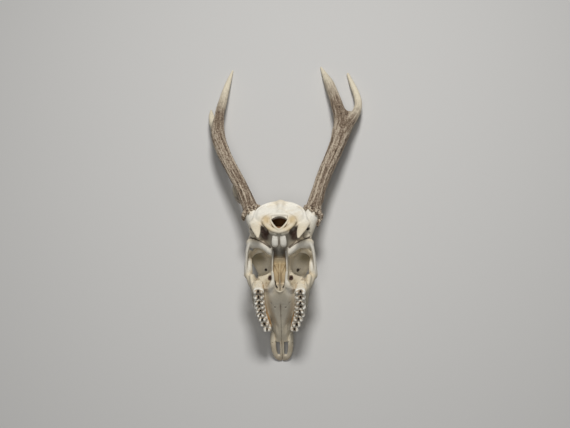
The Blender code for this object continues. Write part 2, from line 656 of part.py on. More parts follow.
def build_skull():
    pieces = braincase_pieces() + face_pieces()
    for side in (LEFT, RIGHT):
        pieces += occiput_pieces(side) + paired_face_pieces(side)
    rest = join("skull", pieces)
    combine(rest, sockets(), "DIFFERENCE")
    combine(rest, cheek_pieces(LEFT) + cheek_pieces(RIGHT) + choana_pieces(), "UNION")
    combine(rest, skull_hollows(), "DIFFERENCE")
    teeth = tooth_cusps(LEFT) + tooth_cusps(RIGHT)
    combine(rest, teeth + [foramen_rim()], "UNION")
    bones = []
    for word, side in SIDES.items():
        near, far = sorted((GAP / 2 * side, 15 * side))
        bones.append((take(rest, "nasal_" + word, (near, 30, 42), (far, 121, 70), pivot=(0, 42, 42),
                           pitch=-22.5), "bone"))
    frontal = take(rest, "frontal", (-80, 110, 79), (80, 206, 150))
    bones.append((frontal, "pale_bone"))
    bones.append((take(rest, "occiput", (-80, 226, -20), (80, 290, 150), pivot=(0, 226, 40), pitch=9),
                  "pale_bone"))
    braincase = take(rest, "braincase", (-80, 190, 0), (80, 260, 150))
    bones.append((braincase, "pale_bone"))
    for word, side in SIDES.items():
        near, far = sorted((46 * side, 90 * side))
        bones.append((take(rest, "cheek_" + word, (near, 90, 10), (far, 220, 120),
                           pivot=(46 * side, 0, 0), lean=-11 * side), "pale_bone"))
    bones.append((take(rest, "pterygoid", (-40, 153, -10), (40, 220, 120)), "grey_bone"))
    for word, side in SIDES.items():
        near, far = sorted((GAP / 2 * side, 40 * side))
        bones.append((take(rest, "premaxilla_" + word, (near, -60, -80), (far, 44, 80), pivot=(0, 44, 4),
                           pitch=34), "bone"))
    bones.append((take(rest, "palate", (-20, 116, -10), (20, 160, 14)), "grey_bone"))
    for word, side in SIDES.items():
        near, far = sorted((GAP / 2 * side, 90 * side))
        bones.append((take(rest, "maxilla_" + word, (near, 0, -40), (far, 200, 120)), "tooth_bone"))
    combine(frontal, [pedicle(LEFT), pedicle(RIGHT)], "UNION")
    combine(braincase, [pedicle(LEFT, GAP), pedicle(RIGHT, GAP)], "DIFFERENCE")
    bpy.data.objects.remove(rest, do_unlink=True)
    return bones


def rest_pose():
    """Turn the skull on its forehead side and bring the nose and antler tips to the floor."""
    turn = Matrix.Rotation(math.pi + FLOOR_TILT, 4, "X")
    return Matrix.Translation(Vector((CENTRE_SIDE, CENTRE_ALONG, FLOOR_HEIGHT)) * MM) @ turn


def main():
    palette = {
        "bone": material("bone", BONE, 0.62),
        "pale_bone": material("pale_bone", PALE_BONE, 0.6),
        "grey_bone": material("grey_bone", GREY_BONE, 0.65),
        "tooth_bone": material("tooth_bone", TOOTH_BONE, 0.5),
        "antler": material("antler", ANTLER, 0.75),
        "ivory": material("ivory", IVORY, 0.4),
    }
    nodes = build_skull()
    for word, side in SIDES.items():
        nodes += antler(word, side)
    pose = rest_pose()
    for obj, look in nodes:
        WORKSHOP.objects.unlink(obj)
        MODEL.objects.link(obj)
        obj.matrix_world = pose
        obj.data.materials.clear()
        obj.data.materials.append(palette[look])
    bpy.context.view_layer.update()
    for obj, look in nodes:
        lowest = min((obj.matrix_world @ vert.co).z for vert in obj.data.vertices)
        if lowest < 0.0:
            floor = block("floor", (-400, -400, -100), (400, 400, 0))
            combine(obj, [floor], "DIFFERENCE")


clear_scene()
MODEL = new_collection("sika_deer_skull")
WORKSHOP = new_collection("workshop")
main()
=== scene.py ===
"""Looks of a sika stag's skull: fine bones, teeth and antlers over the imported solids.

Shapes are made in the skull's own frame, in millimetres. A place is (side, back, up): side is the
animal's right, back is measured from the tip of the nose towards the neck, and up from the palate
towards the forehead. A bone is a field of signed distances on a grid, negative inside, and its
surface is meshed where the field is zero.
"""
import math
from itertools import chain

import bpy
import numpy as np
import openvdb
from mathutils import Matrix, Vector


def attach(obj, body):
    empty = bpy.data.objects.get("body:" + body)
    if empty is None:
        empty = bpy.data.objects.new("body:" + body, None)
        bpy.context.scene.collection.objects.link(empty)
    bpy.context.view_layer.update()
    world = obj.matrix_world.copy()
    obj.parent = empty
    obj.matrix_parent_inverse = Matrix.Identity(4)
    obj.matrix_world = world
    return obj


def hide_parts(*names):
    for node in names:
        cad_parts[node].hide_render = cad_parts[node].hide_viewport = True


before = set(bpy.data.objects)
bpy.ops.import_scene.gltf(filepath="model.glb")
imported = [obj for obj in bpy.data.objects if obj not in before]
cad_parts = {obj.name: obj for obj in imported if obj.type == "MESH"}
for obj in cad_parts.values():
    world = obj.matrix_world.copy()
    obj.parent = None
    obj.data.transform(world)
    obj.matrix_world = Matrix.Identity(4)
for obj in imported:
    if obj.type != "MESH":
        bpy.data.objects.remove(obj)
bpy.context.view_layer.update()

MM = 0.001
LEFT, RIGHT = -1, 1
SIDES = {"left": LEFT, "right": RIGHT}

# How the skull lies on the floor, as in the solids
FLOOR_TILT = math.radians(50.0)
CENTRE_SIDE = 3.0
CENTRE_ALONG = -271.0
FLOOR_HEIGHT = 2.6

# The camera, fitted to the skull's landmarks in the photograph: angles in the skull's frame, and millimetres
CAMERA_TILT = math.radians(32.60)
CAMERA_ROLL = math.radians(2.93)
CAMERA_YAW = math.radians(0.05)
CAMERA_DISTANCE = 1300.0
CAMERA_ASIDE = 4.23
CAMERA_ALONG = 244.42
FOCAL_PIXELS = 788.4
IMAGE_WIDTH = 570
SENSOR_WIDTH = 36.0

# Grid steps, in millimetres
SKULL_STEP = 0.7
TOOTH_STEP = 0.4
ANTLER_STEP = 0.6
# The distance that an empty grid holds, and how far round a shape its own distances are worked out
FAR = 9.0
MARGIN = 7.0
# The skull's grid, and how square a section is across if its station doesn't say it
SKULL_LOW = (-72, -6, -22)
SKULL_HIGH = (72, 262, 146)
SQUARENESS = 2.4

# The largest whole number of 32 bits, for repeatable noise
WORD = 0xFFFFFFFF

# Where two bones meet, the later one reaches under the earlier one by this much, this far below its face
LAP_WIDTH = 1.2
LAP_DEPTH = 0.25
# How far a seam wanders from its cut, how far a bone stays short of it, and where it runs straight
SEAM_WAVE = 0.45
SEAM_GAP = 0.12
SEAM_STRAIGHT = 5.0

# Driving sizes shared with the solids
ORBIT_BACK = 149.0
ORBIT_UP = 63.0
ORBIT_RING_RADIUS = 23.5
CHEEK_HALF_WIDTH = 53.5
PTERYGOID_HALF_SPACING = 11.2
PALATE_UP = 6.5
FRONTAL_UP = 79
BRAIN_CENTRE = (0, 212, 73)


def to_world(points):
    """Turn places in the skull, in millimetres, into world coordinates in metres."""
    side, back, up = points[:, 0], points[:, 1], points[:, 2]
    turned = np.empty_like(points, dtype=np.float64)
    turned[:, 0] = side + CENTRE_SIDE
    turned[:, 1] = back * math.cos(FLOOR_TILT) + up * math.sin(FLOOR_TILT) + CENTRE_ALONG
    turned[:, 2] = back * math.sin(FLOOR_TILT) - up * math.cos(FLOOR_TILT) + FLOOR_HEIGHT
    return turned * MM


def smooth_rows(stations, steps=5):
    """Pass a smooth curve through the stations, with a number of steps between neighbours."""
    rows = np.array(stations, float)
    padded = np.vstack([rows[:1], rows, rows[-1:]])
    found = []
    for p0, p1, p2, p3 in zip(padded[:-3], padded[1:-2], padded[2:-1], padded[3:]):
        for step in range(steps):
            t = step / steps
            bend = 2 * p0 - 5 * p1 + 4 * p2 - p3
            twist = 3 * p1 - p0 - 3 * p2 + p3
            found.append(0.5 * (2 * p1 + (p2 - p0) * t + bend * t * t + twist * t ** 3))
    found.append(rows[-1])
    return np.array(found)


def soft_min(a, b, blend):
    """The smaller of two fields, rounded where they cross."""
    mix = np.clip(0.5 + 0.5 * (a - b) / blend, 0.0, 1.0)
    return a + (b - a) * mix - blend * mix * (1.0 - mix)


def from_stretch(q, reach, size):
    """A distance in millimetres from q, which is 1 on the surface of a stretched shape."""
    return (q - 1.0) * (reach + 0.05) / (q + 0.05 / size)


class Field:
    """Signed distances, in millimetres, on a regular grid."""

    def __init__(self, low, high, step):
        self.low = np.array(low, float)
        self.step = step
        self.shape = tuple(int((b - a) / step) + 2 for a, b in zip(low, high))
        self.values = np.full(self.shape, FAR, np.float32)

    def window(self, low, high):
        """The grid inside a box: its slices, and the coordinates along each axis."""
        first = np.maximum(0, ((np.array(low) - self.low) / self.step).astype(int))
        last = np.minimum(self.shape, ((np.array(high) - self.low) / self.step).astype(int) + 2)
        cuts = tuple(slice(a, b) for a, b in zip(first, last))
        grid = zip(self.low, np.ogrid[cuts])
        return cuts, [(start + self.step * index).astype(np.float32) for start, index in grid]

    def whole(self):
        """The coordinates along each axis of the whole grid."""
        return self.window(self.low, self.low + self.step * np.array(self.shape))[1]

    def add(self, shape, blend=3.0):
        """Join a shape, rounded over the blend's width where it meets what is there."""
        cuts, distance = shape
        self.values[cuts] = soft_min(self.values[cuts], distance, blend)

    def cut(self, shape, blend):
        """Take a shape away, with its edges rounded."""
        cuts, distance = shape
        self.values[cuts] = -soft_min(-self.values[cuts], distance, blend)

    def tube(self, stations, wide=(1, 0, 0), steps=5):
        """A bent, tapering bar: (side, back, up, half width along wide, half thickness)."""
        rows = smooth_rows(stations, steps)
        reach = rows[:, 3:].max() + MARGIN
        cuts, axes = self.window(rows[:, :3].min(0) - reach, rows[:, :3].max(0) + reach)
        found = np.full([axis.size for axis in axes], FAR, np.float32)
        wide = np.array(wide, float)
        for start, end in zip(rows[:-1], rows[1:]):
            pad = max(start[3:].max(), end[3:].max()) + MARGIN
            near = np.minimum(start[:3], end[:3]) - pad
            far = np.maximum(start[:3], end[:3]) + pad
            box = tuple(slice(*np.searchsorted(axis.ravel(), (a, b))) for axis, a, b in zip(axes, near, far))
            along = end[:3] - start[:3]
            length = along @ along
            across = wide - along * (wide @ along) / length
            across /= np.linalg.norm(across)
            x = axes[0][box[0]] - start[0]
            y = axes[1][:, box[1]] - start[1]
            z = axes[2][:, :, box[2]] - start[2]
            t = np.clip((x * along[0] + y * along[1] + z * along[2]) / length, 0.0, 1.0)
            x = x - t * along[0]
            y = y - t * along[1]
            z = z - t * along[2]
            sideways = (x * across[0] + y * across[1] + z * across[2]) ** 2
            whole = x * x + y * y + z * z
            width = start[3] + t * (end[3] - start[3])
            depth = start[4] + t * (end[4] - start[4])
            q = np.sqrt(sideways / width ** 2 + np.maximum(whole - sideways, 0) / depth ** 2)
            distance = from_stretch(q, np.sqrt(whole), depth)
            found[box] = np.minimum(found[box], distance)
        return cuts, found

    def bar(self, side, stations, blend, wide=(1, 0, 0)):
        """Add a tube on one side, by stations that are given for the animal's right."""
        self.add(self.tube(on(side, stations), wide), blend)

    def line(self, stations, steps=5):
        """A round tube: (side, back, up, radius)."""
        return self.tube([(*row[:3], row[3], row[3]) for row in stations], (1, 0.2, 0), steps)

    def trunk(self, stations):
        """A bone across the midline: (back, low, high, half widths low, middle and high, squareness)."""
        rows = smooth_rows([(*row, SQUARENESS)[:7] for row in stations])
        back = rows[:, 0]
        reach = rows[:, 3:6].max() + MARGIN
        cuts, (x, y, z) = self.window(
            (-reach, back[0] - MARGIN, rows[:, 1].min() - MARGIN),
            (reach, back[-1] + MARGIN, rows[:, 2].max() + MARGIN))
        profile = [np.interp(y.ravel(), back, rows[:, column]).reshape(y.shape) for column in range(1, 7)]
        low, high, wide_low, wide_mid, wide_high, power = profile
        half = (high - low) / 2
        rise = (z - (high + low) / 2) / half
        level = np.clip(rise, -1.0, 1.0)
        crown = (wide_high + wide_low) / 2 - wide_mid
        width = wide_mid + (wide_high - wide_low) / 2 * level + crown * level ** 2
        q = (np.abs(x / width) ** power + np.abs(rise) ** power) ** (1 / power)
        distance = from_stretch(q, np.hypot(x, rise * half), np.minimum(width, half))
        ends = np.maximum(back[0] - y, y - back[-1])
        return cuts, np.maximum(distance, ends).astype(np.float32)

    def lump(self, centre, radii, pitch=0.0, yaw=0.0):
        """An egg-shaped lump, turned by pitch in side view and by yaw seen from above."""
        reach = max(radii) + MARGIN
        centre = np.array(centre, float)
        cuts, (x, y, z) = self.window(centre - reach, centre + reach)
        x, y, z = x - centre[0], y - centre[1], z - centre[2]
        whole = np.sqrt(x * x + y * y + z * z)
        c, s = math.cos(math.radians(yaw)), math.sin(math.radians(yaw))
        x, y = c * x + s * y, c * y - s * x
        c, s = math.cos(math.radians(pitch)), math.sin(math.radians(pitch))
        y, z = c * y + s * z, c * z - s * y
        q = np.sqrt((x / radii[0]) ** 2 + (y / radii[1]) ** 2 + (z / radii[2]) ** 2)
        return cuts, from_stretch(q, whole, min(radii)).astype(np.float32)

    def at(self, points, values=None):
        """The field, or other values on its grid, at some points, read from the nearest grid point."""
        index = np.rint((points - self.low) / self.step).astype(int)
        index = np.clip(index, 0, np.array(self.shape) - 1)
        values = self.values if values is None else values
        return values[index[:, 0], index[:, 1], index[:, 2]]

    def slope(self, points):
        """Outward directions at some points."""
        found = np.empty_like(points)
        for axis in range(3):
            offset = np.zeros(3)
            offset[axis] = self.step
            found[:, axis] = self.at(points + offset) - self.at(points - offset)
        return found / np.maximum(np.linalg.norm(found, axis=1, keepdims=True), 1e-6)


def surface(values, low, step):
    """Mesh a field where it is zero, and keep the largest closed surface."""
    grid = openvdb.FloatGrid()
    grid.background = FAR
    grid.copyFromArray(np.ascontiguousarray(values, dtype=np.float32))
    points, quads = grid.convertToQuads(0.0)
    quads = quads.astype(np.int64)
    label = np.arange(len(points))
    while True:
        smallest = label[quads].min(1)
        fresh = label.copy()
        for corner in range(4):
            np.minimum.at(fresh, quads[:, corner], smallest)
        fresh = fresh[fresh]
        if np.array_equal(fresh, label):
            break
        label = fresh
    names, counts = np.unique(label, return_counts=True)
    kept = label == names[counts.argmax()]
    number = np.cumsum(kept) - 1
    quads = number[quads[kept[quads[:, 0]]]]
    return points[kept] * step + np.array(low), quads


def new_piece(name, points, quads, looks, tint):
    """A smooth mesh object from points in the skull's frame, with a colour for each point."""
    mesh = bpy.data.meshes.new(name)
    mesh.vertices.add(len(points))
    mesh.vertices.foreach_set("co", to_world(points).astype(np.float32).ravel())
    mesh.loops.add(quads.size)
    mesh.loops.foreach_set("vertex_index", quads[:, ::-1].astype(np.int32).ravel())
    mesh.polygons.add(len(quads))
    mesh.polygons.foreach_set("loop_start", np.arange(0, quads.size, 4, dtype=np.int32))
    mesh.update(calc_edges=True)
    mesh.validate()
    mesh.shade_smooth()
    colour = np.ones((len(points), 4), np.float32)
    colour[:, :3] = tint
    layer = mesh.color_attributes.new("tint", "FLOAT_COLOR", "POINT")
    layer.data.foreach_set("color", colour.ravel())
    mesh.materials.append(looks)
    piece = bpy.data.objects.new(name, mesh)
    bpy.context.scene.collection.objects.link(piece)
    return piece


def lattice(index, seed):
    """A repeatable number from 0 to 1 for each whole-numbered place, by multiplying with large primes."""
    mixed = index[..., 0] * 73856093 ^ index[..., 1] * 19349663 ^ index[..., 2] * 83492791
    mixed = (mixed ^ seed * 2654435761) & WORD
    mixed = (mixed ^ (mixed >> 15)) * 2246822519 & WORD
    mixed = (mixed ^ (mixed >> 13)) * 3266489917 & WORD
    return (mixed ^ (mixed >> 16)) / WORD


def noise(points, seed=1):
    """Smooth noise from -1 to 1, with a grain of one unit."""
    whole = np.floor(points).astype(np.int64)
    part = points - whole
    ease = part * part * (3 - 2 * part)
    total = np.zeros(len(points))
    for corner in np.ndindex(2, 2, 2):
        step = np.array(corner[::-1])
        weight = np.prod(np.where(step == 1, ease, 1 - ease), axis=1)
        total += weight * lattice(whole + step, seed)
    return total * 2 - 1


def cells(points, seed=1):
    """Distance to the nearest of scattered points, about one to each unit cell."""
    whole = np.floor(points).astype(np.int64)
    nearest = np.full(len(points), 9.0)
    for step in np.ndindex(3, 3, 3):
        cell = whole + np.array(step) - 1
        spot = np.stack([lattice(cell, seed + axis) for axis in range(3)], axis=1)
        nearest = np.minimum(nearest, np.linalg.norm(cell + spot - points, axis=1))
    return nearest


def near_to(points, centre, radii):
    """A soft spot that is 1 at the centre and falls to 0 at about twice the radii."""
    offset = (points - np.array(centre)) / np.array(radii)
    return np.exp(-(offset ** 2).sum(1))


def near_line(points, stations):
    """Distance from each point to a bent line."""
    rows = smooth_rows([row[:3] for row in stations], 3)
    nearest = np.full(len(points), 99.0)
    for start, end in zip(rows[:-1], rows[1:]):
        along = end - start
        t = np.clip((points - start) @ along / (along @ along), 0, 1)
        nearest = np.minimum(nearest, np.linalg.norm(points - start - t[:, None] * along, axis=1))
    return nearest


def ramp(value, start, end):
    """0 at the start and 1 at the end, in a straight line between."""
    return np.clip((value - start) / (end - start), 0.0, 1.0)


def tinted(base, points, layers):
    """A base colour at each point under layers laid on in turn, such as stain, painted highlight and painted
    shade: a colour, and how much of it each takes.
    """
    colour = np.tile(np.array(base), (len(points), 1))
    for other, amount in layers:
        colour = colour + (np.array(other) - colour) * amount[:, None]
    return colour


def on(side, stations):
    """Stations that are given for the animal's right, for one side."""
    return [(side * row[0], *row[1:]) for row in stations]


def across(stations):
    """Stations that are given from the midline to the animal's right, from side to side."""
    return on(LEFT, stations[:0:-1]) + stations


# Bones of the skull


def braincase(bone):
    """The egg of the braincase, the crest at its back and the base of the skull."""
    bone.add(bone.trunk([
        (164, 62, 106, 20, 25, 20, 2.2), (182, 50, 114, 28, 34, 28, 2.3), (196, 45, 114, 30, 38.5, 32),
        (214, 43, 112, 33, 40.5, 34), (232, 43, 107, 36, 41, 33), (241, 46, 101, 35, 39, 31),
        (246, 50, 98, 31, 35, 28)]))
    bone.add(bone.tube(across([
        (0, 246, 99.5, 4.5, 3), (19, 244.5, 98, 4.2, 2.6), (34, 241.5, 88, 4.2, 2.6),
        (39.5, 238, 73, 4.2, 2.6), (40.5, 233, 56, 4.5, 3.5)]), (0, 1, 0)), 4)
    bone.add(bone.lump((0, 247.5, 99.5), (6, 4.5, 5.5)), 4)
    bone.add(bone.tube([(0, 247.5, 95, 3, 3), (0, 246.5, 82, 2.5, 2.5), (0, 246, 68, 3, 3)]), 7)
    bone.add(bone.trunk([
        (176, 36, 52, 6, 8.5, 10), (196, 35, 54, 9, 10.5, 16), (210, 35, 56, 11, 13, 20, 2.6),
        (224, 34, 58, 12.5, 14, 22, 2.6), (234, 35.5, 62, 11, 15, 24),
        (241, 43, 66, 12, 18, 24, 2.2)]), 3)


def occiput(bone, side):
    """A condyle and the bone under it, the long process beside it and the ear's bone."""
    bone.bar(side, [
        (15.5, 244.8, 65, 3, 2.5), (19.2, 244.8, 60.5, 5, 3.8), (21.4, 244.2, 54.5, 5.4, 4),
        (22, 243.2, 51, 4.6, 3.2)], 1, (side, 0, 0.5))
    bone.add(bone.lump((side * 25, 244.4, 51.3), (2.6, 2.8, 3.0)), 1.2)
    bone.bar(side, [
        (21.5, 241.5, 49, 3.6, 3.2), (15.5, 238.6, 43, 4.4, 3.2), (8.5, 236.8, 37.6, 4, 3),
        (0, 236, 34.4, 3.6, 2.8)], 1.4, (side, 0, -0.6))
    bone.bar(side, [
        (38, 232, 70, 6, 6), (37.2, 236, 56, 8.4, 3.8), (35.2, 238.5, 40, 7.2, 2.8),
        (32.4, 239.5, 26, 4.8, 2.2), (30.5, 239.5, 14.5, 2, 1.6)], 4)
    bone.bar(side, [(29, 223, 58, 7, 6), (38, 223, 60, 7, 6), (43.5, 222, 60, 5.5, 5.5)], 3, (0, 1, 0))
    bone.add(bone.lump((side * 43, 234.5, 58), (4.6, 4.5, 7)), 2)
    bone.bar(side, [
        (5.8, 227, 34.6, 4.6, 2.4), (6.4, 221, 32.6, 5, 2.8), (6.5, 214.5, 31.8, 5, 3.4),
        (6.5, 211.5, 33, 3.6, 2.8)], 0.7)
    bone.bar(side, [(4.8, 232, 34.6, 4.4, 2.6), (14.5, 233.5, 39, 3.8, 2.4)], 1.2, (0, 1, 0))


def foramen_rim(bone):
    """The rim of the neck opening."""
    bone.add(bone.tube(across([
        (0, 239, 35.6, 2.2, 2), (4.6, 240, 38.8, 1.8, 1.8), (9.4, 242.2, 45, 1.6, 1.6),
        (13.2, 245, 52, 1.5, 1.5), (14.5, 247.3, 59, 1.5, 1.5)]), (0, 0.6, -1)), 0.8)
    bone.add(bone.tube(across([(0, 248.2, 65, 3, 3), (15, 247.5, 63.5, 3, 3)])), 3)


def notch_rim(bone):
    """The rim of the notch at the palate's rear end."""
    for side in (LEFT, RIGHT):
        bone.bar(side, [
            (0, 141.4, 6.8, 1.3, 1.2), (4.4, 143.6, 7.1, 1.3, 1.2), (7.6, 149.5, 8.4, 1.3, 1.2),
            (9.6, 158, 11.5, 1.4, 1.3), (10.8, 168, 15, 1.6, 1.4)], 1.2)


def orbit_ring(bone, side):
    """The ring round the eye socket, which stands out most at its rear."""
    stations = []
    for step in range(17):
        angle = 2 * math.pi * step / 16
        back = ORBIT_BACK + ORBIT_RING_RADIUS * math.sin(angle)
        up = ORBIT_UP - ORBIT_RING_RADIUS * math.cos(angle)
        front, rear = [max(0.0, sign * math.sin(angle)) for sign in (-1, 1)]
        upper, lower = [max(0.0, sign * math.cos(angle)) for sign in (-1, 1)]
        out = CHEEK_HALF_WIDTH - 18.5 * front - 2.0 * rear - 2.5 * upper - 1.6 * lower
        stations.append((side * out, back, up, 3.8 + 3.0 * lower, 3.0))
    bone.add(bone.tube(stations, steps=2), 3)


def cheek(bone, side):
    """The cheek's bar, the jaw hinge bar and the bar behind the eye."""
    orbit_ring(bone, side)
    bone.bar(side, [
        (31, 108, 20, 14, 6.5), (35.5, 119, 21, 14, 6), (40, 130, 26, 13, 5.2), (47.5, 140, 33, 10, 4.6),
        (52, 151, 38, 6, 4.2)], 4, (0, -0.3, 1))
    bone.bar(side, [
        (53, 150, 39, 5.5, 4), (54.5, 163, 42, 6, 2.8), (53.5, 178, 45, 6, 2.4),
        (51.6, 192, 48, 5.6, 2.6), (48, 203, 51, 6, 3.4), (42, 213, 55, 7, 6)], 3, (0, 0, 1))
    bone.bar(side, [
        (48.8, 200.5, 51, 6, 3), (45, 203, 50, 8.6, 4), (35, 203.5, 49, 7.6, 5),
        (26, 200.5, 48, 6.6, 5.6), (16, 193, 47, 6.8, 7), (8, 188, 46, 7, 7)], 1.5, (0, 1, 0))
    bone.bar(side, [
        (52.5, 165, 47, 4.6, 2.6), (49.5, 168, 62, 4.6, 2.8), (43.5, 168.5, 76, 4.8, 3.2),
        (35, 168.5, 81, 4.8, 4), (27, 171.5, 78, 5, 4.5), (18, 175, 62, 5, 6)], 1.5, (0, 1, 0))


def nose_tube(bone):
    """The upper jaw as a tube, its hollow and side openings, and the palate's front."""
    bone.add(bone.trunk([
        (42, 5, 50, 9, 16.5, 12, 3), (50, 3.5, 54, 8.2, 17, 12.5, 3), (60, 3, 59, 9, 18.5, 13, 2.8),
        (72, 3, 65, 11, 20.5, 14), (84, 3, 70, 16, 25, 15), (98, 3, 76, 24, 31, 17),
        (112, 3, 81, 30, 37, 20), (126, 3, 87, 33, 41, 28), (138, 4, 92, 33, 42, 34),
        (149, 7, 92, 28, 38, 34)]), 2)
    bone.cut(bone.trunk([
        (30, 9, 46, 6, 13, 9), (46, 9, 49, 6, 13.5, 9.5), (62, 9, 55, 6, 15, 10), (80, 10, 60, 8, 17, 10),
        (104, 24, 50, 3, 6, 3, 2.2)]), 1.5)
    for side in (LEFT, RIGHT):
        bone.cut(bone.tube(on(side, [
            (22, 22, 22, 20, 9), (22, 36, 32, 20, 9.5), (22, 48, 42, 20, 7.5), (22, 59, 52, 20, 3)])), 2)
    bone.add(bone.trunk([
        (40, 4.4, 8.5, 9.5, 11, 10, 3), (46, 3.8, 9, 8.4, 9.5, 9, 3), (52, 3, 9.5, 8, 8.6, 8.6, 3),
        (60, 3, 10, 8.8, 9.2, 9.2, 3), (74, 6, 11, 9, 9.5, 9.5, 3)]), 2)


def face(bone):
    """The forehead, and the core between the eye sockets."""
    bone.add(bone.trunk([
        (100, 54, 77, 20, 26, 17), (112, 57, 83, 25, 31, 22, 2.5), (126, 62, 91, 32, 38, 29, 2.6),
        (140, 67, 98, 39, 47.5, 35, 2.6), (152, 72, 103, 43, 53, 38, 2.6),
        (162, 77, 109, 40, 48, 38, 2.5), (176, 78, 114, 36, 41, 34), (190, 76, 116, 34, 39, 32, 2.2),
        (204, 74, 113, 30, 36, 28, 2.2)]), 4)
    bone.add(bone.trunk([
        (96, 14, 72, 20, 24, 20), (112, 14, 80, 22, 26, 24), (128, 18, 84, 20, 25, 28),
        (142, 24, 86, 15, 21, 30), (156, 28, 88, 12, 18, 30), (170, 31, 90, 11, 17, 28),
        (184, 34, 92, 11, 20, 28, 2.3), (198, 36, 92, 14, 26, 30, 2.2)]), 4)


def paired_face(bone, side):
    """The tooth ridge, the pterygoid plate, and the bars of the upper jaw's front."""
    bone.bar(side, [
        (21.5, 74, 8, 6.5, 8), (25, 86, 7, 8, 9), (30, 102, 8, 9, 10), (33.5, 122, 9, 10, 11),
        (34.3, 138, 9, 9.5, 11), (34, 150, 11, 9, 10.5)], 4)
    bone.add(bone.lump((side * 34, 149.5, 4), (8.8, 8.5, 7.5)), 5)
    bone.bar(side, [
        (36, 116, 12, 9, 5), (39, 130, 17, 10, 5.5), (42.5, 143, 25, 10, 5),
        (45, 152, 32, 7, 4.5)], 6, (0, 0, 1))
    bone.bar(side, [
        (15, 144, 17, 10, 3), (PTERYGOID_HALF_SPACING, 156, 24, 12, 2.1),
        (PTERYGOID_HALF_SPACING, 170, 28, 12, 1.9), (11, 184, 33, 10, 1.9),
        (10, 198, 39, 8, 2)], 3, (0, 0, 1))
    bone.bar(side, [
        (2.4, 3, 4, 2.4, 2.2), (7, 5.4, 4, 3.6, 2.4), (10.4, 11, 4.2, 4, 2.5), (12.4, 18, 4.6, 3.9, 2.4),
        (13.6, 26, 5, 4.1, 2.3), (14.2, 33, 6, 4.5, 2.3), (14.2, 40, 9, 4.6, 2.3),
        (14.8, 48, 15, 4, 2.2)], 1.5)
    bone.add(bone.lump((side * 4.4, 9, 4), (4.4, 4.4, 2.2)), 2)
    bone.bar(side, [
        (15.4, 20, 6.5, 3, 1.5), (16.2, 32, 11, 5, 1.5), (15.8, 46, 20, 6, 2.2), (15.8, 60, 31, 7, 1.8),
        (14, 78, 48, 7, 2)], 2, (0, -0.6, 1))
    bone.bar(side, [
        (1.8, 4, 4, 1.65, 2.2), (1.8, 20, 4.5, 1.65, 2), (1.9, 44, 6.2, 1.8, 2.2)], 0.5)


def choana(bone):
    """The shallow trough between the pterygoid plates, with the vomer standing in it."""
    bone.add(bone.trunk([
        (122, 13, 50, 9, 10, 12.5, 3), (136, 15, 50, 10, 12, 12.5, 3), (148, 19, 50, 12.5, 12.5, 12.5, 4),
        (160, 22, 52, 12.5, 12.5, 12.5, 4), (172, 26.5, 53, 12, 12, 12.5, 4),
        (186, 33, 54, 11.5, 11.5, 12, 3)]), 2)
    bone.cut(bone.trunk([
        (134, 9, 13, 7, 8.5, 7), (143, 7, 16.5, 8, 9, 8), (152, 2, 19, 9, 9.6, 8),
        (162, 2, 21.5, 9, 9.2, 8)]), 1)
    bone.add(bone.tube([
        (0, 126, 15, 4, 1.2), (0, 146, 17, 5.5, 1.1), (0, 160, 20.5, 5, 1.1), (0, 169, 25, 4, 1.6),
        (0, 178, 30, 3, 2.6)], (0, 0, 1)), 1.2)
    for side in (LEFT, RIGHT):
        bone.bar(side, [(0, 163, 23.2, 1.6, 1), (4.5, 172, 26.2, 1.6, 0.8), (7, 179, 29.4, 1.6, 0.8)], 0.8)
        bone.bar(side, [
            (11, 172, 16.5, 2, 1.6), (10.4, 162, 12, 2.2, 1.8), (11.5, 153, 8.6, 3.2, 2.4)], 2)
        bone.add(bone.lump((side * 16, 149, 11), (7, 9, 6), yaw=side * 25), 6)


# Pits beside the condyles and the throat, on the animal's right: centre, radii and blend
PITS = [
    ((21.5, 229, 40), (6.8, 9, 15), 1.2), ((28, 230, 43), (5, 7, 11), 1.5),
    ((26, 221, 41), (6.5, 8, 10), 2), ((25.5, 214.5, 42), (7, 6.5, 7.5), 2),
    ((46, 223, 60), (6, 3, 3), 1), ((21.5, 161, 15), (6.2, 13, 13), 4.5)]
# The dark opening along the inner side of the palate's rear rim, on the animal's right as all here are
CRESCENT = [(8.4, 152, 20, 6, 0.7), (7.0, 146.5, 18.5, 6, 0.9), (4.6, 142.4, 17, 6, 0.7)]
# The groove behind the jaw hinge bar
HINGE_GROOVE = [
    (55, 208, 53, 1.2, 2.4), (50, 213, 52, 1.3, 2.8), (43, 214, 50.5, 1.3, 2.8),
    (36, 212, 50, 1.3, 2.8), (26, 207, 48, 1.2, 2.6), (15.5, 199.5, 45.5, 1, 2)]
# Round ones, with a radius: in the palate, in the cheek side of the maxilla and in the forehead
PALATE_SLIT = [(8.4, 111.5, 6.2, 1.2), (11, 116, 6.4, 0.8), (15.5, 122, 6.0, 0.6)]
SIDE_OPENINGS = [
    [(32, 82, 24, 2.4), (20, 95, 30, 1.8)],
    [(22, 162, 118, 1.7), (21, 155, 98, 1.5)],
]


def sight_hole(bone, spot, radius, reach=7):
    """A small foramen bored along the camera's line of sight."""
    ahead = np.array((0, -math.sin(CAMERA_TILT), math.cos(CAMERA_TILT)))
    spot = np.array(spot, float)
    bone.cut(bone.line([(*(spot - reach * ahead), radius), (*(spot + 6 * ahead), radius * 0.8)]), 0.6)


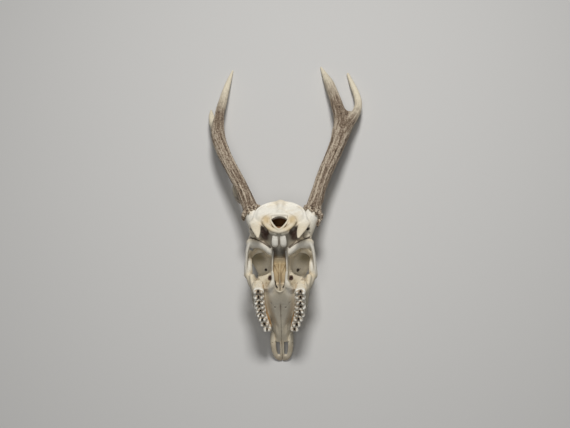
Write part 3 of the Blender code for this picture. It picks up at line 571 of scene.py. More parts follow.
def hollows(bone):
    """The neck and brain hollows, the mouth's arch, and each side's pits and openings."""
    bone.cut(bone.tube([
        (0, 268, 41, 14.5, 11.5), (0, 243.5, 52, 12.5, 10), (0, 222, 62, 15.5, 10.5)]), 1.2)
    bone.cut(bone.lump(BRAIN_CENTRE, (26, 29, 21), pitch=-25), 2)
    bone.cut(bone.trunk([
        (70, -20, 2.6, 9, 8, 6, 2), (92, -20, 5.5, 20, 18, 11, 2), (112, -20, PALATE_UP, 26, 24, 14, 2),
        (134, -20, PALATE_UP, 28, 26, 15, 2), (148, -20, PALATE_UP, 28, 26, 15, 2),
        (162, -20, 9, 28, 26, 15, 2)]), 3)
    bone.cut(bone.lump((0, 156.5, 5), (7.6, 13.8, 7)), 1)
    for side in (LEFT, RIGHT):
        for centre, radii, blend in PITS:
            bone.cut(bone.lump((side * centre[0], *centre[1:]), radii), blend)
        sight_hole(bone, (side * 43.2, 226, 57.5), 2.2)
        bone.cut(bone.tube(on(side, CRESCENT), (0, 0, 1)), 0.5)
        bone.cut(bone.tube(on(side, HINGE_GROOVE), (0, 1, 0)), 0.6)
        bone.cut(bone.line(on(side, PALATE_SLIT)), 0.8)
        for ends in SIDE_OPENINGS:
            bone.cut(bone.line(on(side, ends)), 1.2)
        sight_hole(bone, (side * 16.6, 154, 29), 1.9, 16)
        sight_hole(bone, (side * 17.0, 150.5, 30), 2.2, 16)
    sight_hole(bone, (-26.5, 136, 72), 1.9)
    sight_hole(bone, (26.0, 134, 72), 1.8)
    sight_hole(bone, (29.5, 137.5, 72), 1.0)
    sight_hole(bone, (-15.5, 37.5, 5), 0.9)
    sight_hole(bone, (17, 37.5, 6), 1.3)


# The stalk under each antler: (side, back, up, radius), and how much bone round it goes with the frontal
PEDICLE = [(31, 184, 100, 17), (40, 197, 113, 15.2), (49, 210.5, 126.5, 14)]
PEDICLE_ROOT = 6


def pedicles(bone):
    for side in (LEFT, RIGHT):
        bone.add(bone.line(on(side, PEDICLE)), 8)


def paired(name, inner, outer, low, high, pivot=(0, 0, 0), pitch=0.0, lean=0.0):
    """A box for each side, from inner to outer across, and from low to high in (back, up)."""
    for word, side in SIDES.items():
        near, far = sorted((inner * side, outer * side))
        place = (side * pivot[0], *pivot[1:])
        yield name + word, (near, *low), (far, *high), place, pitch, side * lean


def bone_boxes():
    """Where the bones are parted, in the order in which they are taken: low, high, pivot, pitch, lean."""
    straight = ((0, 0, 0), 0.0, 0.0)
    return [
        *paired("nasal_", 0, 15, (30, 42), (121, 70), (0, 42, 42), pitch=-22.5),
        ("frontal", (-80, 110, FRONTAL_UP), (80, 206, 150), *straight),
        ("occiput", (-80, 226, -20), (80, 290, 150), (0, 226, 40), 9.0, 0.0),
        ("braincase", (-80, 190, 0), (80, 260, 150), *straight),
        *paired("cheek_", 46, 90, (90, 10), (220, 120), (46, 0, 0), lean=-11.0),
        ("pterygoid", (-40, 153, -10), (40, 220, 120), *straight),
        *paired("premaxilla_", 0, 40, (-60, -80), (44, 80), (0, 44, 4), pitch=34.0),
        ("palate", (-20, 116, -10), (20, 160, 14), *straight),
        *paired("maxilla_", 0, 90, (0, -40), (200, 120)),
    ]


def box_distance(axes, low, high, pivot, pitch, lean):
    """Signed distance to a box that is turned about its pivot, as in the solids."""
    turn = Matrix.Rotation(math.radians(pitch), 3, "X") @ Matrix.Rotation(math.radians(lean), 3, "Y")
    back_turn = np.array(turn.transposed(), dtype=np.float32)
    x, y, z = [value - place for value, place in zip(axes, pivot)]
    y = -y
    local = [row[0] * x + row[1] * y + row[2] * z for row in back_turn]
    local = (local[0] + pivot[0], pivot[1] - local[1], local[2] + pivot[2])
    return np.maximum.reduce([np.maximum(a - value, value - b) for value, a, b in zip(local, low, high)])


def whole_skull():
    """The field of the skull before its bones are parted."""
    bone = Field(SKULL_LOW, SKULL_HIGH, SKULL_STEP)
    nose_tube(bone)
    braincase(bone)
    face(bone)
    choana(bone)
    for side in (LEFT, RIGHT):
        paired_face(bone, side)
        occiput(bone, side)
        bone.cut(bone.lump((side * 39, 151, 60), (23, 23.5, 21.5)), 4)
    for side in (LEFT, RIGHT):
        cheek(bone, side)
    hollows(bone)
    foramen_rim(bone)
    notch_rim(bone)
    pedicles(bone)
    return bone


def seam_wander(x, y, z):
    """What is added to the distance to a cut, so that its seam wanders."""
    wave = SEAM_WAVE * np.sin(x * 1.1 + 2 * np.sin(y * 0.7)) * np.sin(y * 0.9 + z * 0.8)
    return wave * np.clip(np.abs(x) / SEAM_STRAIGHT, 0, 1) + SEAM_GAP


def build_bones(looks):
    """Each bone as a piece of its own, taken in turn from the whole skull."""
    bone = whole_skull()
    axes = bone.whole()
    wander = seam_wander(*axes)
    taken = np.full(bone.shape, FAR, np.float32)
    pieces = []
    for name, *box in bone_boxes():
        region = box_distance(axes, *box) + wander
        if name == "frontal":
            for side in (LEFT, RIGHT):
                cut, shape = bone.line(on(side, [(*row[:3], row[3] + PEDICLE_ROOT) for row in PEDICLE]))
                upper = axes[2][:, :, cut[2]] > FRONTAL_UP
                region[cut] = np.where(upper, np.minimum(region[cut], shape), region[cut])
        open_part = np.maximum(bone.values, -taken)
        lapped = np.maximum(bone.values + LAP_DEPTH, -taken - LAP_WIDTH)
        own = np.maximum(np.minimum(open_part, lapped), region)
        taken = np.minimum(taken, region)
        points, quads = surface(own, bone.low, bone.step)
        pieces.append((name, new_piece(name + "_bone", points, quads, looks, bone_tint(bone, points))))
    return pieces


# Colours, as linear red, green and blue; some are laid on the bone as painted highlights or painted shade
CREAM = (0.72, 0.64, 0.49)
WHITE_BONE = (0.86, 0.82, 0.72)
GREY_BEIGE = (0.50, 0.465, 0.385)
TAN = (0.60, 0.44, 0.22)
BROWN = (0.17, 0.085, 0.035)
PAINTED_SHADE_BROWN = (0.035, 0.016, 0.008)
PIT_RED = (0.045, 0.014, 0.008)
ROOF_SHADOW_OLIVE = (0.19, 0.155, 0.085)
FORAMEN_BROWN = (0.22, 0.105, 0.04)
GREY_STAIN_AND_SHADE = (0.36, 0.33, 0.26)
FOSSA_TAN = (0.36, 0.29, 0.18)
THROAT_SHADE = (0.12, 0.108, 0.088)
GUM_ORANGE = (0.55, 0.30, 0.11)


def broad_tones_and_light(points, spots):
    """White, tan and grey by region, with painted highlights and painted shade. Spots are the points, all
    taken over to the animal's right.
    """
    side, back, up = spots.T
    yield WHITE_BONE, ramp(back, 205, 236) * ramp(up, 40, 70)
    yield WHITE_BONE, ramp(side, 24, 38) * ramp(up, 88, 110) * ramp(back, 175, 190)
    yield TAN, 0.22 * ramp(noise(points / 13.0, 17) + 0.6 * noise(points / 5.0, 18), 0.1, 0.8)
    # Grey under the palate, partly its own tone and partly painted shade, heaviest forward of its rear; grey
    # on the skull base
    under = ramp(up, 45, 20) * ramp(back, 60, 90) * ramp(side, 24, 14) * (0.4 + 0.6 * ramp(back, 140, 120))
    base = ramp(side, 20, 14) * ramp(up, 52, 42) * ramp(back, 175, 188) * ramp(back, 240, 232)
    yield GREY_BEIGE, np.maximum(0.8 * under, 0.9 * base)
    # Painted shade on the maxilla's outer side, which faces away from the light
    flank_shade = ramp(side, 33, 41) * ramp(back, 150, 138) * ramp(up, 50, 30) * ramp(back, 85, 100)
    yield GREY_STAIN_AND_SHADE, 0.85 * flank_shade
    # Painted shade in the recess at each side of the nose
    yield GREY_STAIN_AND_SHADE, 0.85 * near_to(spots, (15.5, 52, 15), (5, 14, 12))
    # Painted highlights on the pterygoid plates' edges and the palate's rear corners
    plates = near_line(spots, [(17, 143, 5), (11.5, 156, 11), (11.3, 170, 15), (11, 184, 22), (10, 198, 30)])
    yield WHITE_BONE, 0.6 * ramp(plates, 6, 3)
    yield WHITE_BONE, 0.8 * near_to(spots, (17, 142, 5), (6, 8, 6))
    # Painted highlights on the jaw hinge bars, the bars behind the eyes and the eye sockets' lower walls
    arch_highlight = near_line(spots, [(52, 182, 44), (52, 192, 45), (45, 200, 46), (30, 199, 43), (16, 190, 41)])
    yield WHITE_BONE, 0.9 * ramp(arch_highlight, 12, 6)
    yield WHITE_BONE, 0.8 * ramp(near_line(spots, [(50, 164, 60), (44, 165, 76), (33, 165, 80)]), 7, 4)
    yield WHITE_BONE, 0.8 * near_to(spots, (28, 146, 66), (12, 14, 14))


def throat_shade_and_stains(spots):
    """Shade inside the throat and the notch, between the pterygoid plates."""
    side, back, up = spots.T
    below = ramp(up, 62, 54)
    shade = ramp(side, 13, 10.5) * ramp(up, 24, 28) * below * ramp(back, 168, 178) * ramp(back, 212, 200)
    yield THROAT_SHADE, 0.8 * shade
    throat = ramp(side, 11.5, 9.5) * ramp(back, 143, 152) * ramp(back, 194, 178) * ramp(up, 14, 18) * below
    yield TAN, 0.7 * throat
    yield BROWN, 0.45 * throat * ramp(np.abs(side - 2.4), 1.6, 0.4) * ramp(back, 170, 160)


def local_stains_and_light(points, spots):
    """The eye socket's roof in painted shadow, the condyles, the gums, painted highlights on the cheeks and
    other small places.
    """
    side, back, up = spots.T
    # Painted shadow on the eye socket's roof, under the bars above it
    roof = near_to(spots, (38, 156, 90), (18, 14, 18)) * ramp(up, 66, 80) * ramp(back, 171, 164)
    yield ROOF_SHADOW_OLIVE, np.clip(1.2 * roof, 0, 0.85)
    yield TAN, np.clip(1.3 * near_to(spots, (21, 244, 55), (6, 6, 9)), 0, 0.85)
    yield TAN, 0.9 * near_to(spots, (15, 237.5, 41), (10, 3, 6))
    yield TAN, 0.5 * near_to(spots, (0, 249, 98), (8, 6, 7))
    gum = near_line(spots, [
        (15.5, 72, 0), (18, 86, 0), (20.5, 98, 0), (22.5, 111, 0), (23.5, 127, 0), (24, 145, 0)])
    yield GUM_ORANGE, ramp(gum, 9.5, 3) * (0.65 + 0.35 * ramp(back, 125, 105))
    yield FOSSA_TAN, near_to(spots, (21, 152, 20), (6, 8, 12))
    specks = near_to(spots, (20, 152, 20), (4.5, 7, 10)) * ramp(noise(points / 2.0, 31), 0.0, 0.5)
    yield BROWN, 0.7 * specks
    yield WHITE_BONE, 0.95 * ramp(near_line(spots, [(6.3, 224, 32), (6.4, 212, 30)]), 7, 4.5)
    # Painted highlight on the outer faces of the cheek arches
    cheek_highlight = near_line(spots, [(57, 150, 48), (55.5, 163, 42), (54, 178, 44)])
    yield WHITE_BONE, 0.9 * ramp(cheek_highlight, 11, 6)
    # A grey stain along the palate's middle
    yield GREY_STAIN_AND_SHADE, 0.5 * near_to(spots, (0, 62, 4), (9, 14, 5))
    yield BROWN, 0.45 * ramp(back, 18, 2) * ramp(up, 14, 8)
    yield BROWN, 0.35 * near_to(spots, (0, 112, 6.5), (2.2, 6, 3))
    yield BROWN, 0.35 * near_to(spots, (0, 95, 5.5), (1.5, 3, 3))


def pit_shade_and_stains(bone, points, spots):
    """Painted shade in what the bone closes round and in the pits, grooves and openings, reddish in the
    pits, and brown inside the brain hollow and the neck opening.
    """
    back, up = spots[:, 1], spots[:, 2]
    ahead = bone.at(points + bone.slope(points) * 3.0)
    open_near = np.where(bone.at(points) > -0.8, ramp(ahead, 0.4, 2.4), 1.0)
    # Painted shade where the bone closes round a point
    yield BROWN, 0.4 * (1 - open_near) * ramp(up, 10, 25)
    # Reddish, darkened by painted shade, in the pits beside the condyles and in two small openings beside
    # the throat
    pit = near_to(spots, (21.5, 226, 47), (7, 8, 9)) + near_to(spots, (28, 229, 47), (4, 6, 7))
    yield PIT_RED, 0.9 * (np.clip(1.5 * pit, 0, 1) * ramp(back, 240, 233))
    yield PIT_RED, 0.85 * np.clip(1.8 * near_to(spots, (24.5, 216, 47), (7, 6.5, 8)), 0, 1)
    holes = np.minimum(near_line(spots, [(16.6, 164, 15), (16.6, 149, 37)]),
                       near_line(spots, [(17, 160, 15), (17, 145.5, 38)]) - 0.3)
    yield PIT_RED, 0.95 * ramp(holes, 3.6, 2.4)
    # Painted shade in the hollow behind the palate's rear rim, in the hinge groove, in the palate's slits
    # and in the ear opening
    hollow = near_line(spots * (1, 1, 0.15), [(*row[:2], 2.9) for row in CRESCENT])
    yield PAINTED_SHADE_BROWN, 0.75 * ramp(hollow, 1.7, 0.9) * ramp(up, 12, 15) * ramp(up, 28, 24)
    yield PAINTED_SHADE_BROWN, 0.7 * ramp(near_line(spots, HINGE_GROOVE), 2.6, 1.3)
    yield PAINTED_SHADE_BROWN, 0.75 * ramp(near_line(spots, PALATE_SLIT), 1.5, 0.8) * ramp(back, 123, 113)
    yield PAINTED_SHADE_BROWN, 0.85 * ramp(near_line(spots, [(43.2, 226, 57.5), (43.2, 222, 64)]), 3.4, 2.4)
    cavity = np.linalg.norm((points - np.array(BRAIN_CENTRE)) / np.array((28, 31, 28)), axis=1)
    neck = ramp(near_line(points, [(0, 222, 62), (0, 238, 54.5)]), 15.5, 14) * ramp(back, 243, 240)
    yield FORAMEN_BROWN, np.maximum(ramp(cavity, 1.06, 0.98), neck)
    # Painted shade in the side openings and in the eye socket's small opening
    for ends in SIDE_OPENINGS:
        yield PAINTED_SHADE_BROWN, 0.85 * ramp(near_line(spots, ends), 3.2, 2.0) * (1 - open_near)
    yield PAINTED_SHADE_BROWN, 0.9 * ramp(near_line(spots, [(26.2, 139, 67), (26.2, 131, 80)]), 2.6, 2.0)


def bone_tint(bone, points):
    """Colour of the bone at each point, with painted highlights and painted shade laid in."""
    spots = np.column_stack([np.abs(points[:, 0]), points[:, 1], points[:, 2]])
    colour = tinted(CREAM, points, chain(
        broad_tones_and_light(points, spots), throat_shade_and_stains(spots), local_stains_and_light(points, spots),
        pit_shade_and_stains(bone, points, spots)))
    mottle = noise(points / 9.0, 3) * 0.6 + noise(points / 3.5, 4) * 0.4
    return colour * (1 + 0.07 * mottle[:, None])


# Teeth


# Cheek teeth, front to back: name, back, side, length, width, lobes
TEETH = [
    ("p2", 76.3, 21.5, 9.6, 12.5, 1),
    ("p3", 86.6, 25.0, 10.6, 14.2, 1),
    ("p4", 97.4, 28.0, 10.6, 15.4, 1),
    ("m1", 110.5, 30.4, 15.2, 16.4, 2),
    ("m2", 126.8, 31.7, 17.2, 16.8, 2),
    ("m3", 146.6, 32.0, 21.0, 16.4, 2),
]
CROWN_TIP = -11.5
ENAMEL = (0.86, 0.83, 0.74)
PIT = (0.018, 0.012, 0.008)
DENTINE = (0.42, 0.30, 0.17)
PIT_OUT = 0.03
ROOT_STAIN = (0.55, 0.36, 0.17)


def tooth_tint(points, out, along, inward, ends):
    """Colour of a tooth, by the place in its lobe, with painted shade in the fold between lobes. Ends is 1
    away from the front and back faces.
    """
    up = points[:, 2]
    jitter = 0.4 * noise(points / 1.5, 9)
    root = ramp(up, -6.0, 0.0) * (1 - inward)
    crescent = np.exp(-((out - PIT_OUT - 0.10 * along ** 2) / 0.09) ** 2 - (along / 0.55) ** 2)
    # Painted shade in the fold between lobes
    between = ramp(np.abs(along), 0.78, 0.92) * ramp(np.abs(out + jitter * 0.4), 0.36, 0.22) * ends
    colour = tinted(ENAMEL, points, [
        (CREAM, root * 0.8),
        (ROOT_STAIN, 0.8 * root * ramp(out, -0.15, -0.4) * ramp(np.abs(along), 0.95, 0.6)),
        (ROOT_STAIN, 0.4 * ramp(noise(points / 2.2, 13), 0.1, 0.6) * ramp(out, 0.3, -0.3)),
        (DENTINE, 0.75 * inward * ramp(up, -10.0, -8.0)),
        (PIT, inward * ramp(crescent + jitter, 0.22, 0.42)),
        (PIT, 0.9 * between * ramp(up, -10.5, -8.5))])
    return colour * (1 + 0.06 * noise(points / 1.5, 8)[:, None])


def tooth(name, side, back, middle, length, width, lobes, looks):
    """A worn cheek tooth: each lobe has a taller outer cusp, an inner crescent and a pit between."""
    half = length / 2
    lobe = length / lobes
    field = Field((side * middle - width / 2 - 3, back - half - 2, CROWN_TIP - 3),
                  (side * middle + width / 2 + 3, back + half + 2, 9), TOOTH_STEP)
    x, y, z = field.whole()
    out = (x - side * middle) * side
    chance = np.random.default_rng(int(back * 10) + side)
    body = np.full(field.shape, FAR, np.float32)
    top = np.zeros(field.shape, np.float32)
    for index in range(lobes):
        centre = back + (index - (lobes - 1) / 2) * lobe
        along = (y - centre) / (lobe * 0.5)
        flare = 1.0 - 0.1 * np.clip((z + 4) / 8, -1, 1)
        across_lobe = np.abs(out) / (width / 2)
        q = (across_lobe ** 2.6 + np.abs(along) ** 2.6) ** (1 / 2.6) / flare
        body = soft_min(body, from_stretch(q, np.sqrt(out ** 2 + (y - centre) ** 2), lobe / 2), 0.8)
        wear = chance.uniform(-0.7, 0.7)
        shift = chance.uniform(-0.05, 0.05)
        outer = np.exp(-((out - width * (0.29 + shift)) / (width * 0.20)) ** 2 - (along / 0.75) ** 2)
        inner = np.exp(-((out + width * (0.25 + shift)) / (width * 0.23)) ** 2 - (along / 0.85) ** 2)
        shape = -5.0 + (CROWN_TIP + 5.0 + wear) * outer + (CROWN_TIP + 6.0 + wear) * inner
        shape = shape + 3.0 * np.exp(-((out - width * PIT_OUT) / (width * 0.07)) ** 2 - (along / 0.4) ** 2)
        top = np.minimum(top, shape)
    field.values[:] = np.maximum(body, (top - z) * 0.5)
    points, quads = surface(field.values, field.low, field.step)
    rough = noise(points / 2.4, int(back)) + 0.5 * noise(points / 1.1, int(back) + 1)
    points = points + field.slope(points) * (0.45 * rough * ramp(points[:, 2], -4, -8))[:, None]
    out = (points[:, 0] - side * middle) * side / width
    spot = (points[:, 1] - back) / lobe + (lobes - 1) / 2
    inward = ramp(field.at(points, body), -0.5, -1.5)
    ends = ramp(np.abs(points[:, 1] - back), half - 0.8, half - 1.6)
    colour = tooth_tint(points, out, 2 * (spot - np.rint(spot)), inward, ends)
    return new_piece(name, points, quads, looks, colour)


def build_teeth(looks):
    """All twelve cheek teeth."""
    return [tooth("tooth_%s_%s" % (name, word), side, *sizes, looks)
            for word, side in SIDES.items() for name, *sizes in TEETH]


# Antlers: lines of (side, back, up, radius), from the burr to the tip
BEAMS = {
    "left": [
        (-50.5, 211, 127, 12), (-65, 231, 161, 11), (-85, 250, 196, 10.8), (-103.5, 267, 231, 11.6),
        (-116, 284, 266, 11.4), (-117, 300, 302, 8.6), (-116.5, 306, 316, 8.1), (-113.5, 315, 338, 7.4),
        (-108, 329.5, 374, 5.4), (-101, 343, 410.8, 1.6),
    ],
    "right": [
        (50, 211, 127, 12.4), (59.5, 231.5, 162, 11.2), (72, 250.5, 197, 11.8), (86.5, 268.5, 232, 12.8),
        (97.5, 285.5, 268, 13.4), (97.5, 302, 304, 11.2), (94, 307.5, 317, 10.2), (87.5, 318, 341, 9.3),
        (77, 332.5, 377.5, 7.9), (63, 346.5, 414.2, 1.8),
    ],
}
# The brow tines: back, up and radius are the same on both
BROW_TINE_SIDES = {"left": (-60, -68, -75, -81.5, -87, -91), "right": (57, 59, 61.5, 64, 66.5, 68.5)}
BROW_TINE = [(224, 147, 9), (214, 164, 8.4), (207, 182, 7.4), (202.5, 201, 6.2), (200.5, 221, 4.6),
             (200.5, 241.5, 1.6)]
FORK_TINES = {
    "left": [(-116, 286, 262, 8.8), (-122, 287, 283, 8), (-129, 289, 303, 6.8),
             (-134, 292, 323, 5), (-136.5, 295.5, 341, 1.6)],
    "right": [(99, 288, 266, 11), (113, 295, 290, 9), (125.5, 302, 314, 6.8),
              (130, 309, 336, 6), (127.3, 317.5, 357, 5.3), (120.5, 327, 379, 4.2),
              (112.5, 338.5, 401, 1.6)],
}
# What fills the crotch of the right fork: (side, back, up), radii
FORK_CROTCH = ((109.5, 300.5, 303.5), (9, 8, 8))
# Rows of knobs round the burr: lift along its axis, distance from the axis, size and number
BURR_ROWS = [(1.8, 14.8, 2.4, 17), (4.6, 14.6, 2.5, 19), (8.0, 12.6, 1.9, 21)]
# How far down the outer side of each pedicle loose knobs hang
BURR_DROP = {LEFT: 5, RIGHT: 17}
# The groove along the back of the left beam
GUTTER = [(-63, 226, 154), (-80, 238, 180), (-103, 254, 212), (-118, 272, 245)]
ANTLER_DARK = (0.055, 0.036, 0.023)
ANTLER_BROWN = (0.19, 0.135, 0.09)
ANTLER_GREY = (0.31, 0.245, 0.18)
ANTLER_PALE = (0.58, 0.49, 0.375)
IVORY = (0.78, 0.70, 0.54)


def pedicle_end(side):
    """Where an antler stands, and the direction in which it leaves the skull."""
    low, foot = [np.array(row[:3], float) for row in on(side, PEDICLE[-2:])]
    return foot, (foot - low) / np.linalg.norm(foot - low)


def burr(field, side, chance):
    """A ring of uneven knobs, square on the end of the pedicle and hanging lowest on its outer side."""
    foot, axis = pedicle_end(side)
    broad = np.array((1.0, 0, 0)) - axis * axis[0]
    broad /= np.linalg.norm(broad)
    thin = np.cross(axis, broad)
    field.add(field.line([(*(foot + axis * 1.5), 14.0), (*(foot + axis * 5), 13.5)]), 2)
    for row, (lift, reach, size, count) in enumerate(BURR_ROWS):
        for index in range(count):
            angle = 2 * math.pi * (index + 0.5 * row + chance.uniform(-0.3, 0.3)) / count
            outward = max(0.0, math.cos(angle) * side)
            spot = foot + axis * (lift - 3.0 * outward + chance.uniform(-1.2, 1.2))
            wide = reach + 1.6 * outward + chance.uniform(-1.0, 1.0)
            spot = spot + (broad * math.cos(angle) + thin * math.sin(angle)) * wide
            girth = size * chance.uniform(0.75, 1.2)
            field.add(field.lump(spot, (girth, girth * 1.15, girth)), 0.9)
    for step in range(int(BURR_DROP[side] * 1.8)):
        angle = chance.uniform(-0.42, 0.42) + (0 if side == RIGHT else math.pi)
        spot = foot + axis * (2 - BURR_DROP[side] * chance.uniform(0, 1))
        spot = spot + (broad * math.cos(angle) + thin * math.sin(angle)) * 17.2
        field.add(field.lump(spot, np.array((2.0, 2.6, 2.6)) * chance.uniform(0.8, 1.15)), 1.5)


def along_lines(points, lines):
    """By the nearest line, for each point: how far to its tip and from its foot, its radius, the offset."""
    best = np.full(len(points), 1e9)
    found = np.zeros((len(points), 6))
    for line in lines:
        rows = smooth_rows(line, 3)
        steps = np.linalg.norm(np.diff(rows[:, :3], axis=0), axis=1)
        reached = np.concatenate([[0], np.cumsum(steps)])
        for index, length in enumerate(steps):
            start = rows[index]
            change = rows[index + 1] - start
            t = np.clip((points - start[:3]) @ (change[:3] / length) / length, 0, 1)
            apart = points - (start[:3] + t[:, None] * change[:3])
            size = start[3] + t * change[3]
            here = reached[index] + t * length
            distance = np.linalg.norm(apart, axis=1) - size
            closer = distance < best
            best[closer] = distance[closer]
            found[closer] = np.column_stack([reached[-1] - here, here, size, apart])[closer]
    return found[:, 0], found[:, 1], found[:, 2], found[:, 3:]


def antler_field(lines, side):
    """The field of an antler: beam, tines and burr, cut square where it stands on the pedicle."""
    stations = np.array([row for line in lines for row in line])
    field = Field(stations[:, :3].min(0) - 22, stations[:, :3].max(0) + 16, ANTLER_STEP)
    beam, brow_tine, fork_tine = lines
    # The beam starts a little higher than its line, so that it doesn't show under the burr
    first = beam[0]
    start = (first[0] - 0.3 * side, first[1] + 1.2, first[2] + 3.0, 12.6)
    field.add(field.line([start] + beam[1:]), 3)
    field.add(field.line(brow_tine), 5)
    field.add(field.line(fork_tine), 14 if side == RIGHT else 5)
    if side == RIGHT:
        field.add(field.lump(*FORK_CROTCH), 6)
    burr(field, side, np.random.default_rng(40 + side))
    foot, axis = pedicle_end(side)
    x, y, z = [value - place for value, place in zip(field.whole(), foot)]
    height = x * axis[0] + y * axis[1] + z * axis[2]
    apart = np.sqrt(np.maximum(x ** 2 + y ** 2 + z ** 2 - height ** 2, 0))
    pedicle = np.minimum(0.4 - height, 14.9 - 0.06 * height - apart)
    field.values[:] = np.maximum(field.values, pedicle)
    return field


def antler_relief(points, from_foot, offset, side):
    """Pearls and grooves that run along the antler, as a height at each point."""
    round_it = (offset / np.maximum(np.linalg.norm(offset, axis=1, keepdims=True), 0.1) * 9.0)[:, :2]
    pearls = 1 - ramp(cells(np.column_stack([round_it, from_foot * 0.45]) / 1.25, 11), 0.15, 0.8)
    grooves = noise(np.column_stack([round_it / 1.6, from_foot / 35]), 5)
    fine = noise(np.column_stack([round_it / 0.9, from_foot / 8]), 6)
    relief = 0.7 * (pearls - 0.45) + 0.55 * grooves + 0.35 * fine
    if side == LEFT:
        relief = relief - 1.1 * ramp(near_line(points, GUTTER), 4.5, 1.5)
    return relief


def antler_tint(points, relief, to_tip, from_foot, low_down):
    """Dark in the grooves, pale on the pearls and the burr, and ivory where the tips are worn bare."""
    crust = 1 - ramp(cells(points / 2.6, 21), 0.2, 0.7)
    relief = relief + (0.9 * crust - 0.25) * low_down
    bare = (45 * ramp(points[:, 0], 104, 114) + 25 * ramp(points[:, 0], -95, -105)) * ramp(from_foot, 8, 30)
    return tinted(ANTLER_BROWN, points, [
        (ANTLER_DARK, ramp(relief, -0.3, -0.75)),
        (ANTLER_GREY, ramp(relief, -0.25, 0.1)),
        (ANTLER_PALE, ramp(relief, 0.0, 0.5) * (0.85 + 0.15 * low_down)),
        (IVORY, ramp(to_tip - bare + 14 * noise(points / 7, 7), 85, 20))])


def antler(word, side, looks):
    """One antler: its beam, tines and burr, then pearls and grooves that fade towards the tips."""
    brow_tine = [(out, *row) for out, row in zip(BROW_TINE_SIDES[word], BROW_TINE)]
    lines = [BEAMS[word], brow_tine, FORK_TINES[word]]
    field = antler_field(lines, side)
    points, quads = surface(field.values, field.low, field.step)
    to_tip, from_foot, radius, offset = along_lines(points, lines)
    relief = antler_relief(points, from_foot, offset, side)
    rough = ramp(to_tip, 25, 95) * np.minimum(1.0, radius / 9.0)
    points = points + field.slope(points) * (rough * relief)[:, None]
    foot, axis = pedicle_end(side)
    low_down = ramp((points - foot) @ axis, 16, 9)
    colour = antler_tint(points, relief, to_tip, from_foot, low_down)
    return new_piece("antler_" + word, points, quads, looks, colour)


# Materials


def node(tree, kind, inputs, **values):
    """A new node, with each input set to a value or linked to another node's output."""
    made = tree.nodes.new(kind)
    for key, value in values.items():
        setattr(made, key, value)
    for key, value in inputs.items():
        if isinstance(value, bpy.types.NodeSocket):
            tree.links.new(value, made.inputs[key])
        else:
            made.inputs[key].default_value = value
    return made


def stained(name, roughness, shine, grain, grain_depth, mottle):
    """A material that takes its colour from the piece's tint, with fine mottling and grain."""
    made = bpy.data.materials.new(name)
    made.use_nodes = True
    tree = made.node_tree
    place = node(tree, "ShaderNodeTexCoord", {}).outputs["Object"]
    tint = node(tree, "ShaderNodeAttribute", {}, attribute_name="tint").outputs["Color"]
    speck = node(tree, "ShaderNodeTexNoise", {"Vector": place, "Scale": 420.0, "Detail": 6.0}).outputs["Fac"]
    level = node(tree, "ShaderNodeMapRange", {
        "Value": speck, "From Min": 0.3, "From Max": 0.7, "To Min": 1.0 - mottle, "To Max": 1.0 + mottle})
    shade = node(tree, "ShaderNodeVectorMath", {
        0: tint, "Scale": level.outputs["Result"]}, operation="SCALE")
    rough = node(tree, "ShaderNodeMapRange", {
        "Value": speck, "To Min": roughness - 0.08, "To Max": roughness + 0.1})
    pores = node(tree, "ShaderNodeTexNoise", {"Vector": place, "Scale": grain, "Detail": 8.0})
    bump = node(tree, "ShaderNodeBump", {
        "Height": pores.outputs["Fac"], "Strength": 0.5, "Distance": grain_depth})
    shader = tree.nodes["Principled BSDF"]
    shader.inputs["Specular IOR Level"].default_value = shine
    for output, name in ((shade.outputs["Vector"], "Base Color"), (rough.outputs["Result"], "Roughness"),
                         (bump.outputs["Normal"], "Normal")):
        tree.links.new(output, shader.inputs[name])
    return made


def floor_material():
    made = bpy.data.materials.new("floor")
    made.use_nodes = True
    shader = made.node_tree.nodes["Principled BSDF"]
    shader.inputs["Base Color"].default_value = (0.62, 0.61, 0.59, 1)
    shader.inputs["Roughness"].default_value = 0.9
    return made


# Floor, lights and camera


def skull_axes():
    """Directions in the skull of the photograph's right, up and towards the viewer."""
    side = np.array((1.0, 0.0, 0.0))
    toward = np.array((0.0, math.sin(CAMERA_TILT), -math.cos(CAMERA_TILT)))
    along = np.array((0.0, math.cos(CAMERA_TILT), math.sin(CAMERA_TILT)))
    rolled = math.cos(CAMERA_ROLL) * side - math.sin(CAMERA_ROLL) * toward
    right = math.cos(CAMERA_YAW) * rolled - math.sin(CAMERA_YAW) * along
    up = math.sin(CAMERA_YAW) * rolled + math.cos(CAMERA_YAW) * along
    back = math.sin(CAMERA_ROLL) * side + math.cos(CAMERA_ROLL) * toward
    return right, up, back


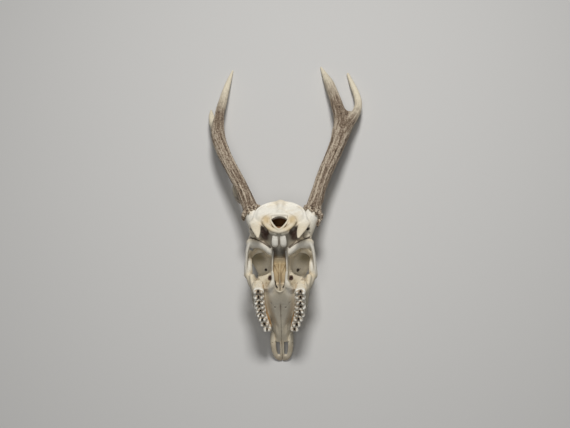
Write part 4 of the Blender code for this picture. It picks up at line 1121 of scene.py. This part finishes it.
def add_camera():
    right, up, back = skull_axes()
    place = right * CAMERA_ASIDE + up * CAMERA_ALONG + back * CAMERA_DISTANCE
    turned = (to_world(np.array([right, up, back])) - to_world(np.zeros((1, 3)))) / MM
    matrix = Matrix(turned.T.tolist()).to_4x4()
    matrix.translation = Vector(to_world(place[None])[0])
    data = bpy.data.cameras.new("camera")
    data.sensor_width = SENSOR_WIDTH
    data.lens = FOCAL_PIXELS * SENSOR_WIDTH / IMAGE_WIDTH
    camera = bpy.data.objects.new("camera", data)
    camera.matrix_world = matrix
    bpy.context.scene.collection.objects.link(camera)
    bpy.context.scene.camera = camera


def area_light(name, place, target, size, power):
    data = bpy.data.lights.new(name, "AREA")
    data.shape = "DISK"
    data.size = size
    data.energy = power
    lamp = bpy.data.objects.new(name, data)
    lamp.location = place
    lamp.rotation_euler = (Vector(target) - Vector(place)).to_track_quat("-Z", "Y").to_euler()
    bpy.context.scene.collection.objects.link(lamp)


def add_studio():
    bpy.ops.mesh.primitive_plane_add(size=8.0, location=(0, 0, 0))
    floor = bpy.context.object
    floor.name = "floor"
    floor.data.materials.append(floor_material())
    area_light("key", place=(0.1, 0.66, 1.6), target=(0, -0.05, 0.1), size=0.4, power=20)
    area_light("fill", place=(0.0, -0.5, 1.5), target=(0, -0.12, 0.1), size=0.5, power=4.5)
    world = bpy.data.worlds.new("studio")
    world.use_nodes = True
    world.node_tree.nodes["Background"].inputs["Color"].default_value = (1, 1, 1, 1)
    world.node_tree.nodes["Background"].inputs["Strength"].default_value = 0.07
    bpy.context.scene.world = world
    bpy.context.scene.view_settings.view_transform = "Standard"


def main():
    bone_looks = stained(
        "dry_bone", roughness=0.55, shine=0.25, grain=1500.0, grain_depth=0.0002, mottle=0.06)
    tooth_looks = stained("enamel", roughness=0.3, shine=0.5, grain=900.0, grain_depth=0.00008, mottle=0.04)
    antler_looks = stained(
        "antler_horn", roughness=0.62, shine=0.25, grain=1200.0, grain_depth=0.0003, mottle=0.12)
    for name, piece in build_bones(bone_looks):
        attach(piece, "root")
        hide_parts(name)
    for piece in build_teeth(tooth_looks):
        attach(piece, "root")
    for word, side in SIDES.items():
        piece = antler(word, side, antler_looks)
        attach(piece, "root")
        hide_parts(*["antler_%s_%s" % (word, part) for part in
                             ("beam", "brow_tine", "fork_tine", "upper_beam")])
    add_camera()
    add_studio()


main()
